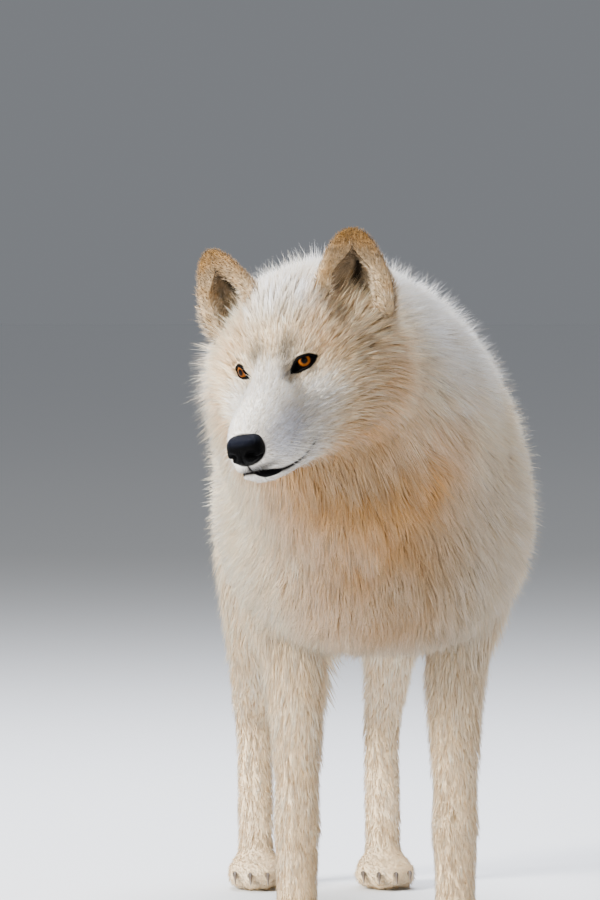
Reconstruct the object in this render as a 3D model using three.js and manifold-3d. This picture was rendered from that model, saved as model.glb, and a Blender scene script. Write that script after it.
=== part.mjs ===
// Arctic wolf in its winter coat, life size, standing square with its head turned to its right.
// Millimetres, +Z up. The body faces -Y and the wolf's left side is on +X.
// Each solid gives the outline of the coat, out to the tips of the hair.
import * as THREE from 'three';
import { LoftGeometry } from 'three/addons/geometries/LoftGeometry.js';
import { mergeVertices } from 'three/addons/utils/BufferGeometryUtils.js';
import Module from 'manifold-3d';

const wasm = await Module();
wasm.setup();

// ---- driving dimensions ----
const GAP = 0.45; // clearance between neighbouring solids
const WITHERS = 780; // height of the back over the shoulders
const CHEST_FLOOR = 329; // height of the lowest hair between the forelegs
const RIBS = 188; // half width of the trunk at its widest
const EYE_MID = new THREE.Vector3(-137, -430, 672); // point midway between the pupils
const HEAD_YAW = -24.7; // degrees, towards the wolf's right
const HEAD_PITCH = 19.4; // degrees, nose down
const HEAD_ROLL = -8.7; // degrees, left side up
const FORE_STANCE = 91; // half distance between the forelegs
const HIND_STANCE = 79; // half distance between the hind legs
const PELVIS_SHIFT = -25; // the hind end stands a little to the wolf's right
const FORE_PAW_Y = -14;
const HIND_PAW_Y = 700;
const EYEBALL = 12;
const LIP_SLIT = 1.2;

// ---- materials ----
const finish = (color, roughness, metalness = 0) =>
  new THREE.MeshStandardMaterial({ color, roughness, metalness });
const COAT = finish(0xd9c6ac, 0.9);
const PALE_COAT = finish(0xe3dace, 0.9);
const EAR_COAT = finish(0xc9a67c, 0.9);
const NOSE_LEATHER = finish(0x15151a, 0.35);
const EYE = finish(0xa35c1c, 0.08);
const CLAW_HORN = finish(0x4a4038, 0.45);

// ---- ways to make and handle solids ----

// Smooth curves through named stations: gives a function from place to the values at that place.
function through(keys, stations) {
  const places = stations.map((s) => s[0]);
  const values = stations.flatMap((s) => s.slice(1));
  const spline = new THREE.CubicInterpolant(places, values, keys.length);
  return (place) => {
    const found = spline.evaluate(place);
    return Object.fromEntries(keys.map((key, i) => [key, found[i]]));
  };
}

// One signed arc of a superellipse: exponent 2 is an ellipse, more is boxier, less is more pointed.
const bow = (x, exponent) => Math.sign(x) * Math.abs(x) ** (2 / exponent);

// A ring of points round a centre. half is the half width, rise and drop the heights above and below the
// centre, and top and low the exponents of the upper and lower arcs.
function ring(s, around, grow) {
  return Array.from({ length: around }, (_, k) => {
    const turn = (2 * Math.PI * k) / around;
    const upper = Math.sin(turn) >= 0;
    const exponent = upper ? (s.top ?? 2) : (s.low ?? 2);
    const height = (upper ? s.rise : s.drop) + grow;
    return s.centre
      .clone()
      .addScaledVector(s.side, (s.half + grow) * bow(Math.cos(turn), exponent))
      .addScaledVector(s.up, height * bow(Math.sin(turn), exponent));
  });
}

const centroid = (points) =>
  points.reduce((sum, p) => sum.add(p), new THREE.Vector3()).divideScalar(points.length);

// A closed loft over rings of points. The rings are put in the order that faces the wall outwards.
function loft(rings) {
  const [first, second] = rings;
  const middle = centroid(first);
  const facing = first.reduce((sum, p, i) => {
    const next = first[(i + 1) % first.length];
    return sum.add(p.clone().sub(middle).cross(next.clone().sub(middle)));
  }, new THREE.Vector3());
  const forward = facing.dot(centroid(second).sub(middle)) > 0;
  const wound = forward ? rings : rings.map((points) => points.slice().reverse());
  return new LoftGeometry(wound, { capStart: true, capEnd: true });
}

// The closed surface over a row of sections, grown outwards on every side, its two ends as well.
function skinned(sections, around, grow = 0, relief = null) {
  const rings = sections.map((s) => ring(s, around, grow));
  if (relief) rings.forEach((points, i) => points.forEach((p) => relief(p, sections[i])));
  for (const [end, next] of [[0, 1], [rings.length - 1, rings.length - 2]]) {
    const outward = centroid(rings[end]).sub(centroid(rings[next])).setLength(grow);
    rings[end].forEach((p) => p.add(outward));
  }
  return loft(rings);
}

// Sections along a path. at(t) gives the section's centre and sizes, for t from 0 to 1. The rings stand
// square to the path, with their side axis kept nearest to the given one.
function along(at, steps, sideways) {
  return Array.from({ length: steps + 1 }, (_, i) => {
    const t = i / steps;
    const here = at(t);
    const ahead = at(Math.min(1, t + 0.02)).centre;
    const behind = at(Math.max(0, t - 0.02)).centre;
    const tangent = ahead.clone().sub(behind).normalize();
    const up = new THREE.Vector3().crossVectors(tangent, sideways).normalize();
    const side = new THREE.Vector3().crossVectors(up, tangent).normalize();
    return { ...here, side, up };
  });
}

// A geometry as a solid. Seams are merged, and triangles that collapsed at a point are dropped.
function solid(geometry, matrix = null) {
  const bare = new THREE.BufferGeometry();
  bare.setAttribute('position', geometry.getAttribute('position').clone());
  if (geometry.index) bare.setIndex(geometry.index.clone());
  if (matrix) bare.applyMatrix4(matrix);
  const merged = mergeVertices(bare, 1e-3);
  const corners = [];
  const index = merged.index.array;
  for (let i = 0; i < index.length; i += 3) {
    const [a, b, c] = index.slice(i, i + 3);
    if (a !== b && b !== c && c !== a) corners.push(a, b, c);
  }
  const build = (triangles) =>
    new wasm.Manifold(
      new wasm.Mesh({
        numProp: 3,
        vertProperties: merged.attributes.position.array,
        triVerts: new Uint32Array(triangles),
      }),
    );
  return build(corners);
}

const joined = (solids) => solids.reduce((all, next) => all.add(next));
const cut = (body, tools) => tools.reduce((left, tool) => left.subtract(tool), body);

// The largest of a solid's separate bodies, so that no sliver is left by a cut.
function mainBody(made) {
  return made.decompose().reduce((a, b) => (a.volume() > b.volume() ? a : b));
}

// A named mesh from a solid, or from a geometry that needed no cut.
function mesh(name, made, material) {
  const body = mainBody(made).getMesh();
  const geometry = new THREE.BufferGeometry();
  const places = new Float32Array(body.numVert * 3);
  for (let i = 0; i < body.numVert; i++) {
    places.set(body.vertProperties.subarray(i * body.numProp, i * body.numProp + 3), i * 3);
  }
  geometry.setAttribute('position', new THREE.BufferAttribute(places, 3));
  geometry.setIndex(new THREE.BufferAttribute(body.triVerts, 1));
  const flat = geometry.toNonIndexed();
  flat.computeVertexNormals();
  const made3 = new THREE.Mesh(flat, material);
  made3.name = name;
  return made3;
}

const move = (x, y, z) => new THREE.Matrix4().makeTranslation(x, y, z);

// An ellipsoid from a sphere of few faces.
function ellipsoid(at, radii, across = 12, down = 8, tilt = new THREE.Euler()) {
  const matrix = new THREE.Matrix4().compose(
    at,
    new THREE.Quaternion().setFromEuler(tilt),
    radii,
  );
  return solid(new THREE.SphereGeometry(1, across, down), matrix);
}

const point = (x, y, z) => new THREE.Vector3(x, y, z);
const X_AXIS = point(1, 0, 0);
const Z_AXIS = point(0, 0, 1);

// ---- trunk ----

// Sideways bend of the spine along the body.
const spine = through(['x'], [
  [-220, -14],
  [0, 2],
  [200, 8],
  [450, 0],
  [HIND_PAW_Y, PELVIS_SHIFT],
  [820, PELVIS_SHIFT],
]);

// Side view of the coat: back line, belly line, half width and the level where the trunk is widest.
const trunkLine = through(['back', 'belly', 'half', 'level'], [
  [-218, 560, 470, 40, 515],
  [-205, 606, 430, 80, 515],
  [-175, 655, 385, 122, 512],
  [-120, 712, 345, 156, 508],
  [-40, 758, CHEST_FLOOR, 178, 500],
  [60, WITHERS - 2, CHEST_FLOOR + 2, RIBS, 495],
  [150, WITHERS, 336, RIBS, 495],
  [300, WITHERS - 12, 350, RIBS - 1, 500],
  [450, WITHERS - 18, 378, RIBS - 14, 515],
  [600, WITHERS - 20, 425, 152, 545],
  [700, WITHERS - 34, 470, 132, 575],
  [765, 712, 520, 104, 600],
  [800, 670, 565, 66, 612],
  [812, 640, 598, 30, 619],
]);

const TRUNK_FRONT = -218;
const TRUNK_BACK = 812;
const TRUNK_STEPS = 17;

function trunkSections() {
  return Array.from({ length: TRUNK_STEPS + 1 }, (_, i) => {
    const share = i / TRUNK_STEPS;
    // the stations crowd towards both ends, where the outline turns quickly
    const eased = share - 0.07 * Math.sin(2 * Math.PI * share);
    const y = THREE.MathUtils.lerp(TRUNK_FRONT, TRUNK_BACK, eased);
    const s = trunkLine(y);
    return {
      centre: point(spine(y).x, y, s.level),
      side: X_AXIS,
      up: Z_AXIS,
      half: s.half,
      rise: s.back - s.level,
      drop: s.level - s.belly,
      top: 1.72,
      low: 2.7,
    };
  });
}

// ---- neck: from inside the shoulders to inside the back of the head ----

const NECK_STEPS = 8;
const neckPath = new THREE.CatmullRomCurve3([
  point(6, 70, 575),
  point(-8, -40, 590),
  point(-34, -145, 618),
  point(-66, -240, 652),
  point(-92, -318, 680),
  point(-106, -362, 690),
]);
const neckSize = through(['half', 'rise', 'drop'], [
  [0, 120, 150, 150],
  [0.18, 158, 180, 205],
  [0.4, 168, 176, 205],
  [0.6, 152, 156, 178],
  [0.8, 127, 124, 142],
  [1, 88, 84, 92],
]);

function neckSections() {
  const sections = along(
    (t) => ({ centre: neckPath.getPoint(t), ...neckSize(t), top: 1.65, low: 2 }),
    NECK_STEPS,
    X_AXIS,
  );
  return sections;
}

// ---- head, in its own frame: origin midway between the pupils, facing -Y ----

const headTurn = new THREE.Euler(
  THREE.MathUtils.degToRad(HEAD_PITCH),
  THREE.MathUtils.degToRad(HEAD_ROLL),
  THREE.MathUtils.degToRad(HEAD_YAW),
  'ZXY',
);
const headPlace = new THREE.Matrix4().makeRotationFromEuler(headTurn).setPosition(EYE_MID);
const onHead = (made) => made.transform(headPlace.elements);

// Side view and front view of the coat along the head: crown line, underline, half width, the level where
// it is widest, and how pointed the upper arc is.
const headLine = through(['crown', 'under', 'half', 'level', 'top'], [
  [-127, -34, -72, 14, -54, 2.2],
  [-122, -26, -82, 19.5, -57, 2.2],
  [-110, -18, -91, 26.5, -60, 2.2],
  [-90, -11, -98, 33, -62, 2.2],
  [-65, -4, -103, 38, -62, 2.1],
  [-40, 2, -107, 43, -61, 2.0],
  [-20, 11, -111, 51, -56, 1.8],
  [0, 26, -116, 67, -51, 1.65],
  [20, 47, -122, 88, -45, 1.75],
  [45, 67, -132, 111, -40, 1.9],
  [75, 80, -146, 128, -38, 1.95],
  [105, 84, -148, 129, -38, 1.95],
  [135, 70, -136, 110, -38, 2.0],
  [155, 46, -110, 76, -38, 2.0],
]);
const HEAD_FRONT = -127;
const HEAD_BACK = 155;
const HEAD_STEPS = 20;
const HEAD_AROUND = 26;

// Local swellings and hollows of the head, mirrored to both sides: place, reach and height.
const RELIEF = [
  { name: 'brow ridge', at: point(30, -8, 17), reach: 17, height: 5 },
  { name: 'eye hollow', at: point(36, -10, -1), reach: 17, height: -15 },
  { name: 'forehead furrow', at: point(0, 0, 32), reach: 16, height: -4 },
  { name: 'cheekbone', at: point(66, 6, -24), reach: 28, height: 4 },
  { name: 'whisker pad', at: point(30, -88, -52), reach: 24, height: 4 },
  { name: 'hollow behind the lip', at: point(46, -30, -72), reach: 18, height: -4 },
  { name: 'chin tuck', at: point(0, -128, -84), reach: 14, height: -4 },
  { name: 'ear hollow', at: point(80, 74, 50), reach: 24, height: -14 },
];

function sculpt(p, section) {
  const out = p.clone().sub(section.centre).normalize();
  for (const { at, reach, height } of RELIEF) {
    const twin = point(Math.sign(p.x || 1) * at.x, at.y, at.z);
    p.addScaledVector(out, height * Math.exp(-p.distanceToSquared(twin) / reach ** 2));
  }
}

function headSections() {
  return Array.from({ length: HEAD_STEPS + 1 }, (_, i) => {
    const share = i / HEAD_STEPS;
    const y = THREE.MathUtils.lerp(HEAD_FRONT, HEAD_BACK, share);
    const s = headLine(y);
    return {
      centre: point(0, y, s.level),
      side: X_AXIS,
      up: Z_AXIS,
      half: s.half,
      rise: s.crown - s.level,
      drop: s.level - s.under,
      top: s.top,
      low: 2.2,
    };
  });
}

// The slit between the lips: a thin band that follows the muzzle from one corner of the mouth to the other.
function mouthSlit() {
  const half = [point(44, -36, -83), point(40, -62, -88.5), point(32, -92, -85), point(19, -114, -79)];
  const otherHalf = half.toReversed().map((p) => point(-p.x, p.y, p.z));
  const lip = new THREE.CatmullRomCurve3([...half, point(0, -127, -74), ...otherHalf]);
  const inward = 9;
  const outward = 8;
  const steps = 10;
  const bands = Array.from({ length: steps + 1 }, (_, i) => {
    const here = lip.getPoint(i / steps);
    const out = point(here.x, (here.y + 50) * 0.5, 0).normalize();
    const corner = (reach, lift) => here.clone().addScaledVector(out, reach).addScaledVector(Z_AXIS, lift);
    return [
      corner(outward, LIP_SLIT),
      corner(-inward, LIP_SLIT / 4),
      corner(-inward, -LIP_SLIT / 4),
      corner(outward, -LIP_SLIT),
    ];
  });
  return solid(loft(bands));
}

// ---- ears: each a leaf rolled into a cup, a crescent in section from its root to its tip ----

const EAR_TIP = point(87, 102, 114);
const EAR_ROOT = point(63, 102, 10);
const EAR_ARC = 7; // points along each face of the crescent
const EAR_CUTS = [0, 3, 8, 17, 30, 46, 66, 88, 111]; // where the sections lie, from the tip down

// Down from the tip: half width, depth of the cup and thickness of the furred wall.
const earLine = through(['half', 'cup', 'wall'], [
  [0, 5, 0.6, 1.8],
  [3, 13, 2, 3],
  [8, 19, 4, 4],
  [17, 26, 8, 5],
  [30, 33, 13, 6],
  [46, 40, 19, 7],
  [66, 45, 24, 8],
  [88, 45, 27, 9],
  [111, 41, 26, 10],
]);

function earSolid(sideSign) {
  const mirror = point(sideSign, 1, 1);
  const tip = EAR_TIP.clone().multiply(mirror);
  const axis = tip.clone().sub(EAR_ROOT.clone().multiply(mirror)).normalize();
  const facing = point(sideSign * 0.26, -0.96, 0.1).normalize();
  const across = new THREE.Vector3().crossVectors(facing, axis).normalize();
  const back = new THREE.Vector3().crossVectors(axis, across).normalize();
  if (back.dot(facing) > 0) back.negate();
  const rings = EAR_CUTS.map((down) => {
    const { half, cup, wall } = earLine(down);
    const base = tip.clone().addScaledVector(axis, -down);
    const arc = (reach, depth, from, to) =>
      Array.from({ length: EAR_ARC }, (_, k) => {
        const turn = THREE.MathUtils.lerp(from, to, k / (EAR_ARC - 1)) * Math.PI;
        return base
          .clone()
          .addScaledVector(across, reach * Math.cos(turn))
          .addScaledVector(back, depth * Math.sin(turn) - cup * 0.5);
      });
    return [...arc(half, cup + wall, 0, 1), ...arc(half - wall * 0.5, cup, 0.98, 0.02)];
  });
  return solid(loft(rings));
}

// ---- nose pad ----

function noseSolid(grow = 0) {
  const pad = ellipsoid(point(0, -122, -47.5), point(20.5 + grow, 17 + grow, 17 + grow), 12, 9);
  if (grow) return pad;
  const nostrils = [1, -1].map((s) =>
    ellipsoid(
      point(s * 11.5, -136, -48),
      point(4.2, 7, 3.2),
      6,
      5,
      new THREE.Euler(0, s * 0.7, s * 0.5),
    ),
  );
  return cut(pad, nostrils);
}

// ---- eyes ----

// The eyeballs' centres in the head's frame, left and right.
const LEFT_EYE = point(32, 9.5, 1.5);
const RIGHT_EYE = point(-35, 9.5, 0.3);

function eyeSolid(sideSign, grow = 0) {
  const ball = new THREE.Vector3().setScalar(EYEBALL + grow);
  return ellipsoid(sideSign > 0 ? LEFT_EYE : RIGHT_EYE, ball, 10, 7);
}

// ---- legs ----

const LEG_AROUND = 12;
const LEG_STEPS = 10;

// A leg is a chain of sections down its bones: height, place along the body, half width, and half depth
// before and behind the bone.
function legSections(stations, standX, sideSign) {
  const line = through(['y', 'z', 'out', 'half', 'front', 'rear'], stations);
  return along(
    (t) => {
      const s = line(t);
      return {
        centre: point(standX + sideSign * s.out, s.y, s.z),
        half: s.half,
        rise: s.front,
        drop: s.rear,
        top: 2,
        low: 1.9,
      };
    },
    LEG_STEPS,
    X_AXIS,
  );
}

// share of the way down, y, z, outward offset, half width, front depth, rear depth
const FORELEG = [
  [0, 20, 500, 12, 34, 50, 50],
  [0.12, 26, 450, 16, 56, 72, 68],
  [0.26, 22, 392, 14, 58, 68, 66],
  [0.4, 8, 336, 3, 46, 51, 58],
  [0.58, -4, 262, 0, 37, 38, 44],
  [0.74, -10, 186, 0, 31, 32, 34],
  [0.84, -10, 142, 0, 31, 32, 31],
  [0.93, -8, 92, 0, 29, 28, 28],
  [1, -12, 40, 0, 27, 27, 27],
];
const HINDLEG = [
  [0, 668, 640, -14, 40, 60, 60],
  [0.12, 650, 590, -12, 54, 104, 96],
  [0.26, 622, 510, -4, 60, 118, 112],
  [0.4, 600, 425, 6, 56, 92, 96],
  [0.52, 622, 345, 6, 46, 64, 66],
  [0.64, 680, 280, 4, 36, 44, 42],
  [0.75, 742, 220, 2, 30, 34, 30],
  [0.83, 748, 170, 0, 27, 28, 27],
  [0.92, 732, 104, 0, 27, 27, 27],
  [1, 722, 40, 0, 26, 27, 27],
];

// ---- paws and claws ----

const TOES = [
  { name: 'inner', x: -29, y: -38, r: 15, long: 28 },
  { name: 'mid_inner', x: -10.5, y: -54, r: 15.5, long: 32 },
  { name: 'mid_outer', x: 11.5, y: -54, r: 15.5, long: 32 },
  { name: 'outer', x: 30, y: -38, r: 15, long: 28 },
];
const PAW_TOP = 66; // height of the cut between leg and paw
const BIG = 3000;

function pawSolid(x, y, sideSign, scale, grow = 0) {
  const lump = (at, radii, around, tilt) =>
    ellipsoid(at, radii.multiplyScalar(scale).addScalar(grow), around, 4, tilt);
  const toes = TOES.map((toe) => {
    const tilt = new THREE.Euler(0.18, 0, -sideSign * toe.x * 0.006);
    const at = point(x + sideSign * toe.x * scale, y + toe.y * scale, 18 * scale);
    return lump(at, point(toe.r, toe.long, 22), 6, tilt);
  });
  const palm = lump(point(x, y - 6 * scale, 22), point(42, 46, 30), 8);
  const heel = lump(point(x, y + 20 * scale, 18), point(30, 28, 24), 8);
  return joined([...toes, palm, heel]);
}

// A claw: a cone that curves down and forward from the end of a toe.
function clawSolid(x, y, sideSign, scale, toe) {
  const reach = 21 * scale;
  const start = point(x + sideSign * toe.x * 1.06 * scale, y + (toe.y - toe.long + 9) * scale, 22 * scale);
  const sections = along(
    (t) => ({
      centre: start.clone().add(point(0, -reach * t, -13 * scale * t * t)),
      half: (3.1 * (1 - t) + 0.7) * scale,
      rise: (4.2 * (1 - t) + 0.8) * scale,
      drop: (4.2 * (1 - t) + 0.8) * scale,
    }),
    3,
    X_AXIS,
  );
  return cut(solid(skinned(sections, 6)), [pawSolid(x, y, sideSign, scale, GAP)]);
}

const slab = (below) =>
  solid(new THREE.BoxGeometry(BIG, BIG, BIG), move(0, 0, below ? -BIG / 2 : BIG / 2));

const shifted = (made, x, y, z) => made.translate([x, y, z]);

// Leg, paw and claws of one corner of the body. The leg is parted from the paw above the wrist or hock.
function limb({ label, stations, standX, pawY, sideSign, scale }) {
  const bone = solid(skinned(legSections(stations, standX, sideSign), LEG_AROUND));
  const whole = cut(bone.add(pawSolid(standX, pawY, sideSign, scale)), [slab(true)]);
  const claws = TOES.map((toe) => ({
    name: `claw_${label}_${toe.name}`,
    made: clawSolid(standX, pawY, sideSign, scale, toe),
  }));
  return {
    leg: cut(whole, [shifted(slab(true), 0, 0, PAW_TOP + GAP)]),
    paw: cut(whole, [shifted(slab(false), 0, 0, PAW_TOP)]),
    claws,
  };
}

const LIMBS = [1, -1].flatMap((sideSign) => {
  const sideName = sideSign > 0 ? 'left' : 'right';
  return [
    {
      label: `fore_${sideName}`,
      names: [`foreleg_${sideName}`, `forepaw_${sideName}`],
      stations: FORELEG,
      standX: sideSign * FORE_STANCE,
      pawY: FORE_PAW_Y,
      sideSign,
      scale: 1,
    },
    {
      label: `hind_${sideName}`,
      names: [`hindleg_${sideName}`, `hindpaw_${sideName}`],
      stations: HINDLEG,
      standX: PELVIS_SHIFT + sideSign * HIND_STANCE,
      pawY: HIND_PAW_Y + 6,
      sideSign,
      scale: 0.92,
    },
  ];
});

// ---- tail ----

const tailPath = new THREE.CatmullRomCurve3([
  point(PELVIS_SHIFT, 742, 690),
  point(PELVIS_SHIFT, 800, 672),
  point(PELVIS_SHIFT - 2, 848, 610),
  point(PELVIS_SHIFT - 5, 872, 520),
  point(PELVIS_SHIFT - 8, 876, 420),
  point(PELVIS_SHIFT - 8, 868, 330),
  point(PELVIS_SHIFT - 4, 854, 258),
  point(PELVIS_SHIFT, 846, 196),
]);
const tailSize = through(['half'], [
  [0, 34],
  [0.2, 46],
  [0.42, 60],
  [0.66, 60],
  [0.82, 48],
  [0.93, 30],
  [1, 8],
]);

function tailSolid() {
  const sections = along(
    (t) => {
      const { half } = tailSize(t);
      return { centre: tailPath.getPoint(t), half, rise: half, drop: half };
    },
    12,
    X_AXIS,
  );
  return solid(skinned(sections, 14));
}

// ---- assembly ----

const headWhole = (grow) => onHead(solid(skinned(headSections(), HEAD_AROUND, grow, sculpt)));
const neckWhole = (grow) => solid(skinned(neckSections(), 20, grow));
const limbs = LIMBS.map((spec) => ({ ...spec, ...limb(spec) }));
const sides = [
  { side: 'left', sideSign: 1 },
  { side: 'right', sideSign: -1 },
];

const wolf = new THREE.Group();
const add = (name, made, material) => wolf.add(mesh(name, made, material));

const eyeHoles = sides.map(({ sideSign }) => onHead(eyeSolid(sideSign, GAP)));
add('head', cut(headWhole(0), [onHead(noseSolid(GAP)), onHead(mouthSlit()), ...eyeHoles]), PALE_COAT);
add('nose', onHead(noseSolid()), NOSE_LEATHER);
for (const { side, sideSign } of sides) {
  add(`ear_${side}`, cut(onHead(earSolid(sideSign)), [headWhole(GAP), neckWhole(GAP)]), EAR_COAT);
  add(`eye_${side}`, onHead(eyeSolid(sideSign)), EYE);
}
const trunkWhole = (grow) => solid(skinned(trunkSections(), 24, grow));
add('trunk', cut(trunkWhole(0), [headWhole(GAP)]), COAT);
add('neck', cut(neckWhole(0), [headWhole(GAP), trunkWhole(GAP)]), COAT);
add('tail', cut(tailSolid(), [trunkWhole(GAP)]), COAT);
for (const { names, leg, paw, claws } of limbs) {
  add(names[0], cut(leg, [trunkWhole(GAP), neckWhole(GAP)]), COAT);
  add(names[1], paw, PALE_COAT);
  for (const claw of claws) add(claw.name, claw.made, CLAW_HORN);
}

// The origin is on the ground, under the middle of the whole outline.
wolf.updateMatrixWorld(true);
const outline = new THREE.Box3().setFromObject(wolf, true);
const middle = outline.getCenter(new THREE.Vector3());
wolf.position.set(-middle.x, -middle.y, -outline.min.z);

export default wolf;
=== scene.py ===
"""Arctic wolf in its winter coat, life size, standing with its head turned to its right.

The shapes are worked out in millimetres in the wolf's own frame: forefeet near y = 0, facing -Y, the
wolf's left side on +X, ground at z = 0. placed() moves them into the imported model's frame, in metres.
"""
import math

import bmesh
import bpy
import numpy as np
from mathutils import Matrix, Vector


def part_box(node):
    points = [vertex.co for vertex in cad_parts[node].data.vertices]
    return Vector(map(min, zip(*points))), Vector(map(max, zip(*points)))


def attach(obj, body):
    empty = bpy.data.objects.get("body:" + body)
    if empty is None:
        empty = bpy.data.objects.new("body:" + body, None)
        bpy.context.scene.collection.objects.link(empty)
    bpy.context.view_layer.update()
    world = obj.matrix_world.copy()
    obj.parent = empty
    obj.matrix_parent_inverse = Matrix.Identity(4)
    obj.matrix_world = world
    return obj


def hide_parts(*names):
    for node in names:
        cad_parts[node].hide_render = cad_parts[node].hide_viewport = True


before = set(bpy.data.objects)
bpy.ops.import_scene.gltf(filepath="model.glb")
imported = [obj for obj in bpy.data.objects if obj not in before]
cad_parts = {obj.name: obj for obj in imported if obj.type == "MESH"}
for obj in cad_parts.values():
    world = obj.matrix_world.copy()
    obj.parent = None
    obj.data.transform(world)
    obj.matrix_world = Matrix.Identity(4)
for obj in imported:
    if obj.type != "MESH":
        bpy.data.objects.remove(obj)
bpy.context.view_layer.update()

bl_info = {
    "name": "Arctic wolf",
    "version": (1, 0, 0),
    "blender": (4, 5, 0),
    "location": "View3D > Sidebar > Wolf",
    "description": "Builds the skin, eyes, nose, claws and winter coat of a life-size arctic wolf",
    "category": "Add Mesh",
}

MM = 0.001
SEED = 7

# ---------------------------------------------------------------- the wolf's frame and the head's frame

EYE_MID = np.array([-137.0, -430.0, 672.0])  # midway between the pupils
HEAD_YAW, HEAD_PITCH, HEAD_ROLL = np.radians([-24.7, 19.4, -8.7])
# From here on in the head's frame; 1 is the left eye and -1 the right one.
EYE_CENTRE = {1: np.array([32.0, 9.5, 1.5]), -1: np.array([-35.0, 9.5, 0.3])}
EYEBALL, CORNEA_RISE, CORNEA_REACH = 12.0, 1.2, 7.8
NOSE_CENTRE, NOSE_RADII = np.array([0.0, -122.0, -47.5]), np.array([20.0, 17.0, 17.0])
EAR_CANAL_SHADE = ((79, 100, 58), (72, 66, 42))  # where the ear's dark slit, painted shade in its canal, runs on down over the head


def turned(yaw, pitch, roll):
    """Rotation matrix: roll about Y, then pitch about X, then yaw about Z."""
    cy, sy, cp, sp, cr, sr = (f(a) for a in (yaw, pitch, roll) for f in (math.cos, math.sin))
    about_z = np.array([[cy, -sy, 0], [sy, cy, 0], [0, 0, 1]])
    about_x = np.array([[1, 0, 0], [0, cp, -sp], [0, sp, cp]])
    about_y = np.array([[cr, 0, sr], [0, 1, 0], [-sr, 0, cr]])
    return about_z @ about_x @ about_y


HEAD_TURN = turned(HEAD_YAW, HEAD_PITCH, HEAD_ROLL)


def on_head(points):
    """Points of the head's own frame (origin between the pupils, facing -Y) in the wolf's frame."""
    return points @ HEAD_TURN.T + EYE_MID


def in_head(points):
    """Points of the wolf's frame in the head's own frame."""
    return (points - EYE_MID) @ HEAD_TURN


def frame_shift():
    """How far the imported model's origin is from the wolf's, in mm, read off the two eyeballs' boxes."""
    corners = [np.array(c) for side in ("left", "right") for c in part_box(f"eye_{side}")]
    centre_of_eyes = on_head((EYE_CENTRE[1] + EYE_CENTRE[-1]) / 2)
    return np.mean(corners, axis=0) / MM - centre_of_eyes


SHIFT = frame_shift()


def placed(points):
    """Millimetres in the wolf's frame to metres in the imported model's frame."""
    return (points + SHIFT) * MM


def on_floor(points, over=0.3 - SHIFT[2]):
    """Points with any that are under the floor lifted to a height, usually 0.3 mm over it."""
    return np.maximum(points, [-np.inf, -np.inf, over])


def unplaced(points):
    """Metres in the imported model's frame to millimetres in the wolf's frame."""
    return points / MM - SHIFT


# ---------------------------------------------------------------- small numpy tools


def unit(vectors):
    """Vectors of length one."""
    return vectors / np.maximum(np.linalg.norm(vectors, axis=-1, keepdims=True), 1e-9)


def flat_on(vectors, normals):
    """The directions of vectors once pressed into the planes square to unit normals: v - n (v.n)."""
    return unit(vectors - normals * np.sum(vectors * normals, axis=1, keepdims=True))


def round_turn(count):
    """Angles in equal steps round a full turn."""
    return np.linspace(0, 2 * math.pi, count, endpoint=False)


def bell(x, middle, reach):
    """1 at the middle, falling as exp(-((x - middle) / reach)^2)."""
    return np.exp(-(((x - middle) / reach) ** 2))


def smoothstep(low, high, x):
    """0 below low, 1 above high, and 3s^2 - 2s^3 between."""
    s = np.clip((x - low) / (high - low), 0, 1)
    return s * s * (3 - 2 * s)


def through(stations):
    """A smooth curve through stations of (place, value, value, ...).

    Between two stations it is a cubic Hermite piece, whose slope at each station is that of the chord
    between the station's two neighbours.
    """
    table = np.array(stations, float)
    place, value = table[:, 0], table[:, 1:]
    slope = np.empty_like(value)
    slope[1:-1] = (value[2:] - value[:-2]) / (place[2:] - place[:-2])[:, None]
    slope[0] = (value[1] - value[0]) / (place[1] - place[0])
    slope[-1] = (value[-1] - value[-2]) / (place[-1] - place[-2])

    def at(x):
        """The values at places along the stations."""
        x = np.clip(np.atleast_1d(np.asarray(x, float)), place[0], place[-1])
        k = np.clip(np.searchsorted(place, x) - 1, 0, len(place) - 2)
        step = (place[k + 1] - place[k])[:, None]
        s = ((x - place[k])[:, None]) / step
        ends = (2 * s**3 - 3 * s**2 + 1) * value[k] + (3 * s**2 - 2 * s**3) * value[k + 1]
        slopes = (s**3 - 2 * s**2 + s) * slope[k] + (s**3 - s**2) * slope[k + 1]
        return ends + step * slopes

    return at


def path_through(points):
    """A smooth path through points at equal steps, as a function of a share from 0 to 1."""
    return through([(k / (len(points) - 1), *p) for k, p in enumerate(points)])


HASH = np.array([73856093, 19349663, 83492791])  # large primes that mix a cell's three numbers into one


def noise(points, grain, seed):
    """Smooth noise from -1 to 1: random values on a lattice of that grain, blended over each cell."""
    table = np.random.RandomState(seed).uniform(-1, 1, 4096)
    cell = np.floor(points / grain).astype(np.int64)
    f = points / grain - cell
    f = f * f * (3 - 2 * f)
    total = np.zeros(len(points))
    for corner in range(8):
        step = np.array([corner & 1, corner >> 1 & 1, corner >> 2 & 1])
        mix = (cell + step) @ HASH
        weight = np.prod(np.where(step, f, 1 - f), axis=1)
        total += weight * table[(mix ^ (mix >> 13)) & 4095]
    return total


def blob(points, centre, reach, soft=1.0):
    """1 at a centre, falling as exp(-d^(2 soft)) with d measured in reaches along X, Y and Z."""
    d = (points - np.array(centre)) / np.array(reach)
    return np.exp(-np.sum(d * d, axis=1) ** soft)


def both_sides(points, centre, reach, soft=1.0):
    """A blob and its mirror image on the other side of x = 0."""
    return blob(points, centre, reach, soft) + blob(points * [-1, 1, 1], centre, reach, soft)


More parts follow.
